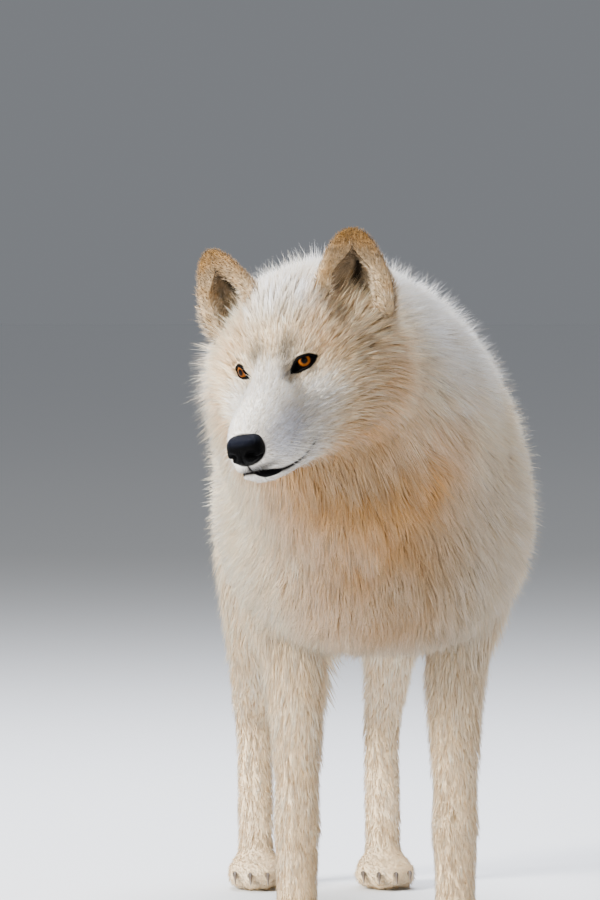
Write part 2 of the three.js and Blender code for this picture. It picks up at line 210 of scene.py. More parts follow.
def along_line(points, start, end, reach):
    """1 on the line from start to end and on its mirror image, falling as exp(-(distance / reach)^2)."""
    from_start = points * np.where(points[:, :1] < 0, [-1, 1, 1], 1) - np.array(start)
    line = np.array(end) - np.array(start)
    share = np.clip(from_start @ line / np.sum(line**2), 0, 1)
    return np.exp(-np.sum((from_start - share[:, None] * line) ** 2, axis=1) / reach**2)


def linear(hex_colour):
    """An sRGB hex colour as linear red, green and blue: ((c + 0.055) / 1.055)^2.4, or c / 12.92 when dark."""
    srgb = np.array([int(hex_colour[k:k + 2], 16) / 255 for k in (0, 2, 4)])
    return tuple(np.where(srgb > 0.04045, ((srgb + 0.055) / 1.055) ** 2.4, srgb / 12.92).tolist())


# ---------------------------------------------------------------- rings, tubes and meshes


def tube(centre, side, up, half, rise, drop, top, low, around):
    """Rings of superellipses round a path, as a grid of rings by points.

    At angle a a ring stands half * |cos a|^(2/n) to the side and rise (below: drop) * |sin a|^(2/n) up,
    where n is top for the upper arc and low for the lower one.
    """
    a = round_turn(around)
    c, s = np.cos(a)[None, :], np.sin(a)[None, :]
    upper = s >= 0
    power = 2 / np.where(upper, np.reshape(top, (-1, 1)), np.reshape(low, (-1, 1)))
    height = np.where(upper, np.reshape(rise, (-1, 1)), np.reshape(drop, (-1, 1)))
    across = np.sign(c) * np.abs(c) ** power * np.reshape(half, (-1, 1))
    lift = np.sign(s) * np.abs(s) ** power * height
    return centre[:, None] + across[..., None] * side[:, None] + lift[..., None] * up[:, None]


def square_to(path, share, sideways=(1.0, 0.0, 0.0)):
    """Side and up directions square to a path, with side kept nearest to sideways."""
    tangent = path(np.minimum(share + 0.02, 1)) - path(np.maximum(share - 0.02, 0))
    up = unit(np.cross(tangent, sideways))
    return unit(np.cross(up, tangent)), up


def upright(rings):
    """Side and up directions of rings that stand straight across."""
    return np.tile([1.0, 0, 0], (rings, 1)), np.tile([0, 0, 1.0], (rings, 1))


def grid_faces(rows, columns, closed_rows=False):
    """Quads of a grid of rows by columns whose columns wrap round, row after row."""
    k = np.arange(rows if closed_rows else rows - 1)[:, None]
    j = np.arange(columns)[None, :]
    here, there = (k % rows) * columns, ((k + 1) % rows) * columns
    after = (j + 1) % columns
    return np.stack([here + j, here + after, there + after, there + j], -1).reshape(-1, 4)


def capped(grid):
    """A grid of rings with a point added at the middle of each end, as (points, quads, triangles)."""
    rows, columns = grid.shape[:2]
    points = np.concatenate([grid.reshape(-1, 3), grid[:1].mean(1), grid[-1:].mean(1)])
    j = np.arange(columns)
    after = (j + 1) % columns
    first, last = rows * columns, rows * columns + 1
    end = (rows - 1) * columns
    fans = [(first + 0 * j, after, j), (last + 0 * j, end + j, end + after)]
    return points, grid_faces(rows, columns), np.concatenate([np.stack(fan, -1) for fan in fans])


def outward(points, quads, triangles):
    """The same closed surface with its faces turned out, judged by the sign of its volume."""
    t = np.concatenate([quads[:, :3], quads[:, [0, 2, 3]], triangles])
    a, b, c = (points[t[:, k]] for k in range(3))
    if np.einsum("ij,ij->", a, np.cross(b, c)) < 0:
        return points, quads[:, ::-1], triangles[:, ::-1]
    return points, quads, triangles


def shown(name, data):
    """A new object of the scene that holds the data."""
    made = bpy.data.objects.new(name, data)
    bpy.context.scene.collection.objects.link(made)
    return made


def new_mesh(name, points, *face_sets, smooth=True):
    """An object whose mesh has the points (in metres) and every face of the face sets."""
    corners = np.concatenate([f.ravel() for f in face_sets]).astype(np.int32)
    sizes = np.concatenate([np.full(len(f), f.shape[1]) for f in face_sets])
    starts = np.concatenate([[0], np.cumsum(sizes)[:-1]]).astype(np.int32)
    mesh = bpy.data.meshes.new(name)
    mesh.vertices.add(len(points))
    mesh.vertices.foreach_set("co", points.astype(np.float32).ravel())
    mesh.loops.add(len(corners))
    mesh.loops.foreach_set("vertex_index", corners)
    mesh.polygons.add(len(sizes))
    mesh.polygons.foreach_set("loop_start", starts)
    mesh.update(calc_edges=True)
    mesh.validate()
    if smooth:
        mesh.shade_smooth()
    return shown(name, mesh)


def joined(surfaces):
    """Several (points, quads, triangles) as one."""
    offsets = np.cumsum([0] + [len(s[0]) for s in surfaces[:-1]])
    faces = [np.concatenate([s[k] + o for s, o in zip(surfaces, offsets)]) for k in (1, 2)]
    return np.concatenate([s[0] for s in surfaces]), *faces


def read(items, field, width=1, kind=np.float32):
    """One field of every item of a collection, as rows of that width."""
    values = np.empty(len(items) * width, kind)
    items.foreach_get(field, values)
    return values.reshape(-1, width) if width > 1 else values


# An attribute's kind and field, by the width of its rows.
ATTRIBUTES = {1: ("FLOAT", "value"), 3: ("FLOAT_VECTOR", "vector"), 4: ("FLOAT_COLOR", "color")}


def set_attribute(mesh, name, values):
    """A named value at each vertex, from one number or a row of 3 or 4 for each."""
    kind, field = ATTRIBUTES[1 if values.ndim == 1 else values.shape[1]]
    made = mesh.attributes.new(name, kind, "POINT")
    made.data.foreach_set(field, np.ascontiguousarray(values).ravel())


def set_marking(mesh, colour):
    """The attribute that holds a colour at each vertex."""
    set_attribute(mesh, "marking", np.column_stack([colour, np.ones(len(colour))]))


def get_attribute(mesh, name, width=1):
    """The values of a named attribute as rows of that width."""
    return read(mesh.attributes[name].data, ATTRIBUTES[width][1], width)


def vertex_places(mesh):
    """The vertices of a mesh in mm, in the wolf's frame."""
    return unplaced(read(mesh.vertices, "co", 3).astype(float))


def vertex_normals(mesh):
    """The unit normals at the vertices."""
    return read(mesh.vertex_normals, "vector", 3).astype(float)


def edge_ends(mesh):
    """The two vertices of every edge."""
    return read(mesh.edges, "vertices", 2, np.int32)


def faces_of(mesh):
    """The quads and the triangles of a mesh."""
    corners = read(mesh.loops, "vertex_index", kind=np.int32)
    starts, sizes = (read(mesh.polygons, field, kind=np.int32) for field in ("loop_start", "loop_total"))
    return [corners[starts[sizes == n][:, None] + np.arange(n)] for n in (4, 3)]


def move_vertices(mesh, points):
    """Puts the vertices of a mesh at points given in mm in the wolf's frame."""
    mesh.vertices.foreach_set("co", placed(points).astype(np.float32).ravel())
    mesh.update()


# ---------------------------------------------------------------- the body's form
#
# Each form gives the outline of the coat, as the solids do, and the depth of the coat under it, above, at
# the side and below. The skin is the outline less that depth.

WITHERS = 780.0
CHEST_FLOOR = 329.0
RIBS = 188.0
PELVIS_SHIFT = -25.0
FORE_STANCE = 91.0
HIND_STANCE = 79.0
FORE_PAW_Y = -14.0
HIND_PAW_Y = 706.0

SPINE = through([(-220, -14), (0, 2), (200, 8), (450, 0), (700, PELVIS_SHIFT), (820, PELVIS_SHIFT)])

# place along the body; back, belly, half width, level of the greatest width; coat above, beside, below
TRUNK = through([
    (-218, 560, 470, 40, 515, 24, 26, 26),
    (-205, 606, 430, 80, 515, 26, 26, 28),
    (-175, 655, 385, 122, 512, 26, 27, 28),
    (-120, 712, 345, 156, 508, 28, 27, 26),
    (-40, 758, CHEST_FLOOR, 178, 500, 30, 26, 24),
    (60, WITHERS - 2, CHEST_FLOOR + 2, RIBS, 495, 32, 25, 22),
    (150, WITHERS, 336, RIBS, 495, 32, 25, 22),
    (300, WITHERS - 12, 350, RIBS - 1, 500, 28, 25, 24),
    (450, WITHERS - 18, 378, RIBS - 14, 515, 26, 25, 26),
    (600, WITHERS - 20, 425, 152, 545, 26, 24, 24),
    (700, WITHERS - 34, 470, 132, 575, 26, 24, 22),
    (765, 712, 520, 104, 600, 24, 22, 20),
    (800, 670, 565, 66, 612, 18, 16, 14),
    (812, 640, 598, 30, 619, 8, 8, 6),
])

NECK_PATH = path_through([
    (6, 70, 575), (-8, -40, 590), (-34, -145, 618), (-66, -240, 652), (-92, -318, 680), (-106, -362, 690),
])
# share of the way to the head; half width, rise, drop; coat above, beside, below
NECK = through([
    (0, 120, 150, 150, 30, 26, 28),
    (0.18, 158, 180, 205, 32, 28, 30),
    (0.4, 168, 176, 205, 32, 31, 32),
    (0.6, 152, 156, 178, 32, 32, 33),
    (0.8, 127, 124, 142, 30, 32, 33),
    (1, 88, 84, 92, 26, 28, 28),
])

# place along the head; crown line, underline, half width, widest level, upper exponent; coat above,
# beside, below
HEAD = through([
    (-127, -34, -72, 14, -54, 2.2, 2, 2, 2),
    (-122, -26, -82, 19.5, -57, 2.2, 2, 2, 2),
    (-110, -18, -91, 26.5, -60, 2.2, 2, 2, 2.5),
    (-90, -11, -98, 33, -62, 2.2, 2, 2.5, 3),
    (-65, -4, -103, 38, -62, 2.1, 2.5, 3, 4),
    (-40, 2, -107, 43, -61, 2.0, 3, 4, 6),
    (-20, 11, -111, 51, -56, 1.8, 4, 6, 9),
    (0, 26, -116, 67, -51, 1.65, 5, 9, 13),
    (20, 47, -122, 88, -45, 1.75, 7, 14, 18),
    (45, 67, -132, 111, -40, 1.9, 10, 21, 24),
    (75, 80, -146, 128, -38, 1.95, 14, 27, 28),
    (105, 84, -148, 129, -38, 1.95, 18, 29, 30),
    (135, 70, -136, 110, -38, 2.0, 20, 29, 30),
    (155, 46, -110, 76, -38, 2.0, 20, 24, 26),
])
HEAD_FRONT, HEAD_BACK = -127.0, 155.0

# Swellings and hollows of the head, mirrored: place, reach and height.
RELIEF = {
    "brow ridge": ((30, -8, 17), 17, 5),
    "eye hollow": ((38, -10, -1), 17, -11),
    "forehead furrow": ((0, 0, 32), 16, -4),
    "cheekbone": ((66, 6, -24), 28, 4),
    "whisker pad": ((30, -88, -52), 24, 4),
    "hollow behind the lip": ((46, -30, -72), 18, -4),
    "chin tuck": ((0, -128, -84), 14, -4),
    "tear hollow": ((25, -17, -2), 12, -1.5),
    "bridge": ((9, -22, 12), 13, 3.5),
    "ear hollow": ((77, 72, 48), 23, -31),
}

# share of the way down; y, z, outward offset, half width, front depth, rear depth, coat depth
FORELEG = through([
    (0, 20, 500, 12, 34, 50, 50, 12),
    (0.12, 26, 450, 16, 56, 72, 68, 16),
    (0.26, 22, 392, 14, 58, 68, 66, 17),
    (0.4, 8, 336, 3, 46, 51, 58, 13),
    (0.58, -4, 262, 0, 37, 38, 44, 9),
    (0.74, -10, 186, 0, 31, 32, 34, 7),
    (0.84, -10, 142, 0, 31, 32, 31, 6),
    (0.93, -8, 92, 0, 29, 28, 28, 5),
    (1, -12, 40, 0, 27, 27, 27, 5),
])
HINDLEG = through([
    (0, 668, 640, -14, 40, 60, 60, 14),
    (0.12, 650, 590, -12, 54, 104, 96, 18),
    (0.26, 622, 510, -4, 60, 118, 112, 20),
    (0.4, 600, 425, 6, 56, 92, 96, 17),
    (0.52, 622, 345, 6, 46, 64, 66, 13),
    (0.64, 680, 280, 4, 36, 44, 42, 9),
    (0.75, 742, 220, 2, 30, 34, 30, 7),
    (0.83, 748, 170, 0, 27, 28, 27, 6),
    (0.92, 732, 104, 0, 27, 27, 27, 5),
    (1, 722, 40, 0, 26, 27, 27, 5),
])

TAIL_PATH = path_through([
    (PELVIS_SHIFT, 742, 690), (PELVIS_SHIFT, 800, 672), (PELVIS_SHIFT - 2, 848, 610),
    (PELVIS_SHIFT - 5, 872, 520), (PELVIS_SHIFT - 8, 876, 420), (PELVIS_SHIFT - 8, 868, 330),
    (PELVIS_SHIFT - 4, 854, 258), (PELVIS_SHIFT, 846, 196),
])
TAIL = through([
    (0, 34, 12), (0.2, 46, 22), (0.42, 60, 34), (0.66, 60, 37), (0.82, 48, 32), (0.93, 30, 20), (1, 8, 5),
])

# How far outward and along Y the middle of each toe is from the paw's, its half width and half length.
TOES = {"inner": (-29, -38, 15, 28), "mid_inner": (-10.5, -54, 15.5, 32),
        "mid_outer": (11.5, -54, 15.5, 32), "outer": (30, -38, 15, 28)}
TOE_HEIGHT, TOE_RISE = 18, 22
# Palm and heel: radii, how far behind the paw's middle, and height.
PADS = (((42, 46, 30), -6, 22), ((30, 28, 24), 20, 18))
PAW_COAT = 4.0
# Name, side, leg, and the x, y and scale of the paw.
LIMBS = [
    (f"{where}_{side}", sign, line, x + sign * stance, y, scale)
    for where, line, x, stance, y, scale in (
        ("fore", FORELEG, 0.0, FORE_STANCE, FORE_PAW_Y, 1.0),
        ("hind", HINDLEG, PELVIS_SHIFT, HIND_STANCE, HIND_PAW_Y, 0.92))
    for side, sign in (("left", 1), ("right", -1))
]


class Form:
    """One lofted part of the body: its skin as rings, the way its hair lies, the coat's depth, and each
    ring's share of the way along."""

    def __init__(self, name, skin, hair, depth, share):
        self.name, self.skin, self.hair, self.depth, self.share = name, skin, hair, depth, share


def lofted(name, centre, side, up, sizes, coats, exponents, around, share, flip=False):
    """A form from its outline's sizes (half, rise, drop) and coat depths (above, beside, below).

    At angle a the coat is beside * cos^2 a + above (or below) * sin^2 a deep. The hair runs along the
    rings, or the other way if flipped.
    """
    half, rise, drop = sizes
    above, beside, below = coats
    skin = tube(centre, side, up, half - beside, rise - above, drop - below, *exponents, around)
    a = round_turn(around)[None, :]
    vertical = np.where(np.sin(a) >= 0, above[:, None], below[:, None])
    depth = beside[:, None] * np.cos(a) ** 2 + vertical * np.sin(a) ** 2
    along = np.gradient(skin, axis=0)
    return Form(name, skin, unit(-along if flip else along), depth, share)


def trunk_form(rings=80, around=96):
    """The trunk: superellipses standing across the body from the breast to the rump."""
    share = np.linspace(0, 1, rings)
    y = -218 + 1030 * (share - 0.07 * np.sin(2 * math.pi * share))
    back, belly, half, level, above, beside, below = TRUNK(y).T
    centre = np.stack([SPINE(y)[:, 0], y, level], -1)
    sizes = (half, back - level, level - belly)
    return lofted("trunk", centre, *upright(rings), sizes, (above, beside, below), (1.72, 2.7), around, share)


def neck_form(rings=44, around=80):
    """The neck: superellipses square to a path from inside the shoulders to the back of the head."""
    share = np.linspace(0, 1, rings)
    half, rise, drop, above, beside, below = NECK(share).T
    side, up = square_to(NECK_PATH, share)
    return lofted("neck", NECK_PATH(share), side, up, (half, rise, drop), (above, beside, below),
                  (1.65, 2.0), around, share, flip=True)


def head_form(rings=120, around=112):
    """The head: superellipses across it from the lips to the nape, then the relief of the face."""
    share = np.linspace(0, 1, rings)
    y = HEAD_FRONT + (HEAD_BACK - HEAD_FRONT) * share
    crown, under, half, level, top, above, beside, below = HEAD(y).T
    centre = np.stack([0 * y, y, level], -1)
    made = lofted("head", centre, *upright(rings), (half, crown - level, level - under),
                  (above, beside, below), (top, 2.2), around, share)
    points = made.skin.reshape(-1, 3)
    out = unit(points - np.repeat(centre, around, axis=0))
    for place, reach, height in RELIEF.values():
        twin = np.array(place) * np.where(points[:, :1] < 0, [-1, 1, 1], 1)
        points = points + out * (height * np.exp(-np.sum((points - twin) ** 2, 1) / reach**2))[:, None]
    made.skin = on_head(points).reshape(made.skin.shape)
    made.hair = unit(np.gradient(made.skin, axis=0))
    return made


def leg_form(limb, rings=56, around=40):
    """A leg: ovals down its bones, deeper in front and behind than across."""
    name, sign, line, x, _, _ = limb
    share = np.linspace(0, 1, rings)
    y, z, out, half, front, rear, coat = line(share).T
    path = through(np.column_stack([share, x + sign * out, y, z]))
    side, up = square_to(path, share)
    return lofted(f"leg_{name}", path(share), side, up, (half, front, rear), (coat, coat, coat),
                  (2.0, 1.9), around, share)


def tail_form(rings=40, around=40):
    """The tail: circles along a path that hangs from the rump."""
    share = np.linspace(0, 1, rings)
    half, coat = TAIL(share).T
    side, up = square_to(TAIL_PATH, share)
    return lofted("tail", TAIL_PATH(share), side, up, (half, half, half), (coat, coat, coat),
                  (2.0, 2.0), around, share)


def ellipsoid_form(name, centre, radii, pitch=0.0, yaw=0.0, rings=18, around=24):
    """An ellipsoid as rings round its Y axis, then pitched and turned, with hair lying forward and down."""
    share = np.linspace(0, 1, rings)
    angle = math.pi * (0.02 + 0.96 * share)
    profile = np.sin(angle)
    middle = np.stack([0 * share, -np.cos(angle) * radii[1], 0 * share], -1)
    wide, high = radii[0] * profile, radii[2] * profile
    grid = tube(middle, *upright(rings), wide, high, high, 2, 2, around)
    skin = grid @ turned(yaw, pitch, 0).T + np.array(centre)
    depth = np.full(skin.shape[:2], PAW_COAT)
    forward = np.broadcast_to(unit(np.array([0, -1, -0.4])), skin.shape)
    return Form(name, skin, forward, depth, share)


def paw_forms(limb):
    """A paw: four toes, the palm and the heel of the foot, each an ellipsoid."""
    name, sign, _, x, y, scale = limb
    forms = []
    for toe_x, toe_y, wide, long in TOES.values():
        centre = (x + sign * toe_x * scale, y + toe_y * scale, TOE_HEIGHT * scale)
        radii = np.array([wide, long, TOE_RISE]) * scale - 3
        forms.append(ellipsoid_form(f"paw_{name}", centre, radii, 0.18, -sign * toe_x * 0.006))
    for radii, behind, height in PADS:
        centre = (x, y + behind * scale, height)
        forms.append(ellipsoid_form(f"paw_{name}", centre, np.array(radii) * scale - 3.5))
    return forms


# ---------------------------------------------------------------- the eyes' places

LIDS_OUT, LIDS_UP, FISSURE_SLANT = math.radians(33), math.radians(4), math.radians(10)
GAZE = {1: (math.radians(27), math.radians(15)), -1: (math.radians(26), math.radians(6))}


def axes_of(sign, turned_out, turned_up, slant=0.0):
    """Forward, outward and upward directions of a plane across an eye, the outer end raised by a slant."""
    ahead = unit(np.array([sign * math.sin(turned_out), -math.cos(turned_out), math.tan(turned_up)]))
    out = unit(np.cross(ahead, [0, 0, 1.0])) * -sign
    up = np.cross(ahead, out) * sign
    up = up * np.sign(up[2])
    return ahead, out * math.cos(slant) + up * math.sin(slant), up * math.cos(slant) - out * math.sin(slant)


def lid_axes(sign):
    """The axes of the plane across the lids of one eye."""
    return axes_of(sign, LIDS_OUT, LIDS_UP, FISSURE_SLANT)


LID_IN, LID_OUT = {1: -19.5, -1: -11.5}, 13.0  # where the lids meet, towards the nose and away from it
LID_TOP, LID_LOW = 6.9, 6.2
LID_BAND = 2.3  # bare black skin round the opening
LID_SPHERE, LID_EDGE, LID_EDGE_AHEAD, LID_SLOPE = 13.2, 9.5, 9.16, 0.35
EYE_WIDE, EYE_HIGH, EYE_BEHIND = 34, 30, -8  # how far from an eye's centre its lids still shape the skin


def lid_line(a, sign):
    """Heights of the upper and lower lids of one eye at a distance a outwards from its middle.

    Each lid is a bow between the corners, (4 s (1 - s))^0.75 times its height, made narrower by up to
    0.38 of that over the 9 mm at the inner corner. That corner dips by 3.8 mm towards the tear duct and
    the outer one by 0.6 mm.
    """
    s = np.clip((a - LID_IN[sign]) / (LID_OUT - LID_IN[sign]), 0, 1)
    bow = (4 * s * (1 - s)) ** 0.75 * (0.62 + 0.38 * smoothstep(LID_IN[sign], LID_IN[sign] + 9, a))
    dip = -3.8 * (1 - smoothstep(LID_IN[sign], -4.0, a)) - 0.6 * smoothstep(6, LID_OUT, a)
    return dip + LID_TOP * bow, dip - LID_LOW * bow


def lid_reach(r):
    """How far ahead of the eye's centre the lids stand at r from its axis: a sphere 13.2 mm in radius out
    to 9.5 mm, and then a gentle slope."""
    on_sphere = np.sqrt(np.maximum(LID_SPHERE**2 - r**2, 0))
    return np.where(r < LID_EDGE, on_sphere, LID_EDGE_AHEAD - LID_SLOPE * (r - LID_EDGE))


def by_eye(place, sign):
    """How far places of the head's frame are ahead of one eye's centre, outward and up, in mm, and which
    of them are near the eye."""
    arm = place - EYE_CENTRE[sign]
    ahead, a, b = (arm @ axis for axis in lid_axes(sign))
    return ahead, a, b, (np.abs(a) < EYE_WIDE) & (np.abs(b) < EYE_HIGH) & (ahead > EYE_BEHIND)


def lid_gap(place):
    """How far outside the lids' line a point of the head's frame is, in mm, and below 0 inside it."""
    gap = np.full(len(place), 99.0)
    for sign in (1, -1):
        _, a, b, near = by_eye(place, sign)
        top, low = lid_line(a, sign)
        over = np.maximum(b - top, low - b)
        past = np.maximum(np.maximum(a - LID_OUT, LID_IN[sign] - a), 0)
        here = np.where(past > 0, np.hypot(np.maximum(over, 0), past), over)
        gap = np.where(near, np.minimum(gap, here), gap)
    return gap


# ---------------------------------------------------------------- the skin


def limb_forms():
    """Every leg and paw."""
    return [form for limb in LIMBS for form in (leg_form(limb), *paw_forms(limb))]


def remeshed(forms, cell):
    """One closed skin round all the forms: their overlapping surfaces, voxel remeshed to a cell (mm)."""
    points, quads, triangles = joined([outward(*capped(form.skin)) for form in forms])
    body = new_mesh("skin", placed(points), quads, triangles)
    remesh = body.modifiers.new("one skin", "REMESH")
    remesh.mode = "VOXEL"
    remesh.voxel_size = cell * MM
    remesh.adaptivity = 0
    evaluated = body.evaluated_get(bpy.context.evaluated_depsgraph_get())
    mesh = bpy.data.meshes.new_from_object(evaluated)
    body.modifiers.clear()
    old = body.data
    body.data = mesh
    bpy.data.meshes.remove(old)
    return body


def relaxed(values, ends, rounds, strength=0.5):
    """Values at vertices, moved towards the mean of their neighbours' by a strength, over some rounds."""
    count = len(values)
    degree = np.maximum(np.bincount(ends.ravel(), minlength=count), 1)
    strength = np.broadcast_to(strength, (count,))
    values = values.astype(float)
    flat = values.reshape(count, -1)
    for _ in range(rounds):
        for k in range(flat.shape[1]):
            total = np.bincount(ends[:, 0], flat[ends[:, 1], k], count)
            total += np.bincount(ends[:, 1], flat[ends[:, 0], k], count)
            flat[:, k] += strength * (total / degree - flat[:, k])
    return flat.reshape(values.shape)


def needs_finer(place, level):
    """Whether places of the head's frame are in the face, in the muzzle and eyes, or at the lips and lids."""
    face = (place[:, 2] > -112) & (place[:, 2] < 75) & (np.abs(place[:, 0]) < 100)
    if level < 2:
        return face & (place[:, 1] < (46, 16)[level])
    height, past = lip_distance(place)
    lips = (place[:, 1] < 5) & (np.hypot(height, past) < 8)
    return face & (lips | (lid_gap(place) < 7))


def finer_face(body, form):
    """Halves the skin's faces three times over, each time in a smaller part of the face, and after each
    lays the new vertices on the head's form: p + n (s - p).n for the nearest place s, with normal n."""
    across, down = np.roll(form.skin, -1, axis=1) - form.skin, np.gradient(form.skin, axis=0)
    out = unit(np.cross(across, down)).reshape(-1, 3)
    samples = form.skin.reshape(-1, 3)
    out = out * np.sign(np.sum(out * (samples - samples.mean(0)), axis=1).mean())
    for level in range(3):
        near = needs_finer(in_head(unplaced(read(body.data.polygons, "center", 3))), level)
        work = bmesh.new()
        work.from_mesh(body.data)
        work.faces.ensure_lookup_table()
        edges = {edge for k in np.nonzero(near)[0] for edge in work.faces[k].edges}
        bmesh.ops.subdivide_edges(work, edges=list(edges), cuts=1, use_grid_fill=True)
        bmesh.ops.triangulate(work, faces=[face for face in work.faces if len(face.verts) > 4])
        work.to_mesh(body.data)
        work.free()
        points = vertex_places(body.data)
        chosen = np.nonzero(in_head(points)[:, 1] < 44)[0]
        found = nearest_samples(points[chosen], samples)
        step = np.sum((samples[found] - points[chosen]) * out[found], axis=1)
        share = smoothstep(44, 24, in_head(points[chosen])[:, 1]) * (np.abs(step) < 9)
        points[chosen] += (share * step)[:, None] * out[found]
        points = relaxed(points, edge_ends(body.data), 2, 0.35 * (in_head(points)[:, 1] < 60))
        move_vertices(body.data, points)


def sculpt_eyes(points):
    """Lids: round the lids' line the skin comes to the lids' reach over each eyeball, with a fold over and
    under the eye, and inside the line it drops behind the ball."""
    place = in_head(points)
    gap = lid_gap(place)
    for sign in (1, -1):
        ahead, a, b, near = by_eye(place, sign)
        at_corner = smoothstep(LID_IN[sign] - 7, LID_IN[sign] + 5, a)
        weight = near * smoothstep(15, 2.5, gap) * (0.45 + 0.55 * at_corner)
        lids = lid_reach(np.hypot(a, b))
        fold = 0.9 * bell(gap, 5.5, 1.5) * np.where(b > 0, 1, 0.6)
        lifted = ahead + weight * (lids - ahead) - near * at_corner * fold
        lifted = np.where(near & (gap < -0.4), np.minimum(lifted, 3.5), lifted)
        place = place + (lifted - ahead)[:, None] * lid_axes(sign)[0]
    return on_head(place)


# The mouth's line seen from the side, from the front of the lips to the corner: place and height.
LIP = through([
    (-135, -70), (-122, -74.5), (-112, -78.5), (-96, -83.5), (-80, -86.5), (-65, -88), (-52, -88),
    (-42, -85.5), (-34, -82.5), (-27, -80),
])
LIP_CORNER = -27.0


def lip_distance(place):
    """How far points of the head's frame are over (+) or under (-) the line between the lips, in mm, and
    how far behind the corner of the mouth."""
    height = place[:, 2] - LIP(place[:, 1])[:, 0]
    return height, np.maximum(place[:, 1] - LIP_CORNER, 0)


def sculpt_mouth(points, normals):
    """The mouth's line: a groove along the lips, and a full lower lip under it towards the front."""
    place = in_head(points)
    height, past = lip_distance(place)
    groove = 2.4 * bell(np.hypot(height, past), 0, 1.6)
    front = smoothstep(-70, -100, place[:, 1])
    lip = 1.3 * bell(height, -3.2, 2.2) * (past == 0) * front
    return points + normals * (lip - groove)[:, None]


def nearest_samples(points, samples, batch=1500):
    """For each point the number of the nearest sample, by |p|^2 - 2 p.s + |s|^2 in batches."""
    samples32 = samples.astype(np.float32)
    square = np.sum(samples32**2, axis=1)
    found = np.empty(len(points), np.int64)
    for start in range(0, len(points), batch):
        part = points[start:start + batch].astype(np.float32)
        found[start:start + batch] = np.argmin(square - 2 * part @ samples32.T, axis=1)
    return found


EAR_TIP = np.array([87.0, 102.0, 114.0])
EAR_ROOT = np.array([63.0, 102.0, 10.0])
# down from the tip: half width, depth of the cup and thickness of the furred wall
EAR = through([
    (0, 5, 0.6, 1.8), (3, 13, 2, 3), (8, 19, 4, 4), (17, 26, 8, 5), (30, 33, 13, 6), (46, 40, 19, 7),
    (66, 45, 24, 8), (88, 45, 27, 9), (111, 41, 26, 10),
])
EAR_COAT = 2.0
EAR_ARC, EAR_RIM = 40, 12  # points along each half ellipse and round each rim


def ear_form(sign, rings=56):
    """An ear: rings from its root to its tip.

    Round each ring go the back of the ear, a half ellipse, a furred rim, a flat half ellipse that swells
    forward, the cup, a smaller half ellipse, and the other rim. The cup closes towards the tip. The form
    also tells each point's side of the wall (0 the back, 0.5 the rim, 1 the cup), how far across the cup it
    is, and which way the inner side of the head lies.
    """
    mirror = np.array([sign, 1, 1])
    tip, root = EAR_TIP * mirror, EAR_ROOT * mirror
    length = np.linalg.norm(tip - root)
    axis = (tip - root) / length
    facing = unit(np.array([sign * 0.26, -0.96, 0.1]))
    across = unit(np.cross(facing, axis))
    back = np.cross(axis, across)
    back = back * -np.sign(back @ facing)
    share = np.linspace(0, 1, rings)
    down = length * (1 - share) ** 1.25 * 0.985 + 1.5 * (1 - share)
    half, cup, wall = EAR(down).T[:, :, None]
    half, wall = half - EAR_COAT, np.maximum(wall - EAR_COAT, 0.8)
    open_share = smoothstep(12, 50, down)[:, None]
    half_in = np.maximum(0.62 * half * open_share - 1.5, 0.25)
    cup_in = (cup + 1.5) * np.clip((half_in - 0.25) / 12, 0.02, 1)
    turn = np.linspace(0, math.pi, EAR_ARC)[None, :]
    rim_turn = np.linspace(0, math.pi, EAR_RIM + 2)[None, 1:-1]
    middle, radius = (half + half_in) / 2, (half - half_in) / 2
    rim_swell = radius * (0.05 + 0.3 * open_share)
    pieces = [
        (np.cos(turn) * half, np.sin(turn) * (cup + wall)),
        (-middle - np.cos(rim_turn) * radius, -np.sin(rim_turn) * rim_swell),
        (-np.cos(turn) * half_in, np.sin(turn) * cup_in),
        (middle - np.cos(rim_turn) * radius, -np.sin(rim_turn) * rim_swell),
    ]
    kinds = np.repeat([0, 0.5, 1, 0.5], [EAR_ARC, EAR_RIM, EAR_ARC, EAR_RIM])  # back, rim, cup, rim
    x = np.concatenate([piece[0] for piece in pieces], axis=1)
    y = np.concatenate([piece[1] for piece in pieces], axis=1) - 0.5 * cup
    base = tip - axis * down[:, None]
    grid = base[:, None] + x[..., None] * across + y[..., None] * back
    skin = on_head(grid.reshape(-1, 3)).reshape(grid.shape)
    inside = np.broadcast_to(kinds, x.shape)
    inward = -x[..., None] / (half[..., None] + 1) * across * (inside[..., None] > 0)
    hair = (axis + 0.5 * inward * (1 + (inside[..., None] == 1))) @ HEAD_TURN.T
    foot = smoothstep(0.5, 0.2, share)[:, None]
    depth = EAR_COAT + (2.0 + 3.0 * (inside > 0)) * np.clip(half / 20, 0, 1) + 7 * foot * (inside < 1)
    made = Form("ear", skin, unit(hair), depth, share)
    made.inside = inside
    made.across = np.broadcast_to(x / np.maximum(half_in, 1), x.shape)
    made.inner_side = -np.sign(across[0]) * sign
    return made


# ---------------------------------------------------------------- markings


def mixed(colour, other, share):
    """A colour moved towards another by a share, row by row."""
    share = np.clip(share, 0, 1)[:, None]
    return colour * (1 - share) + np.array(other) * share


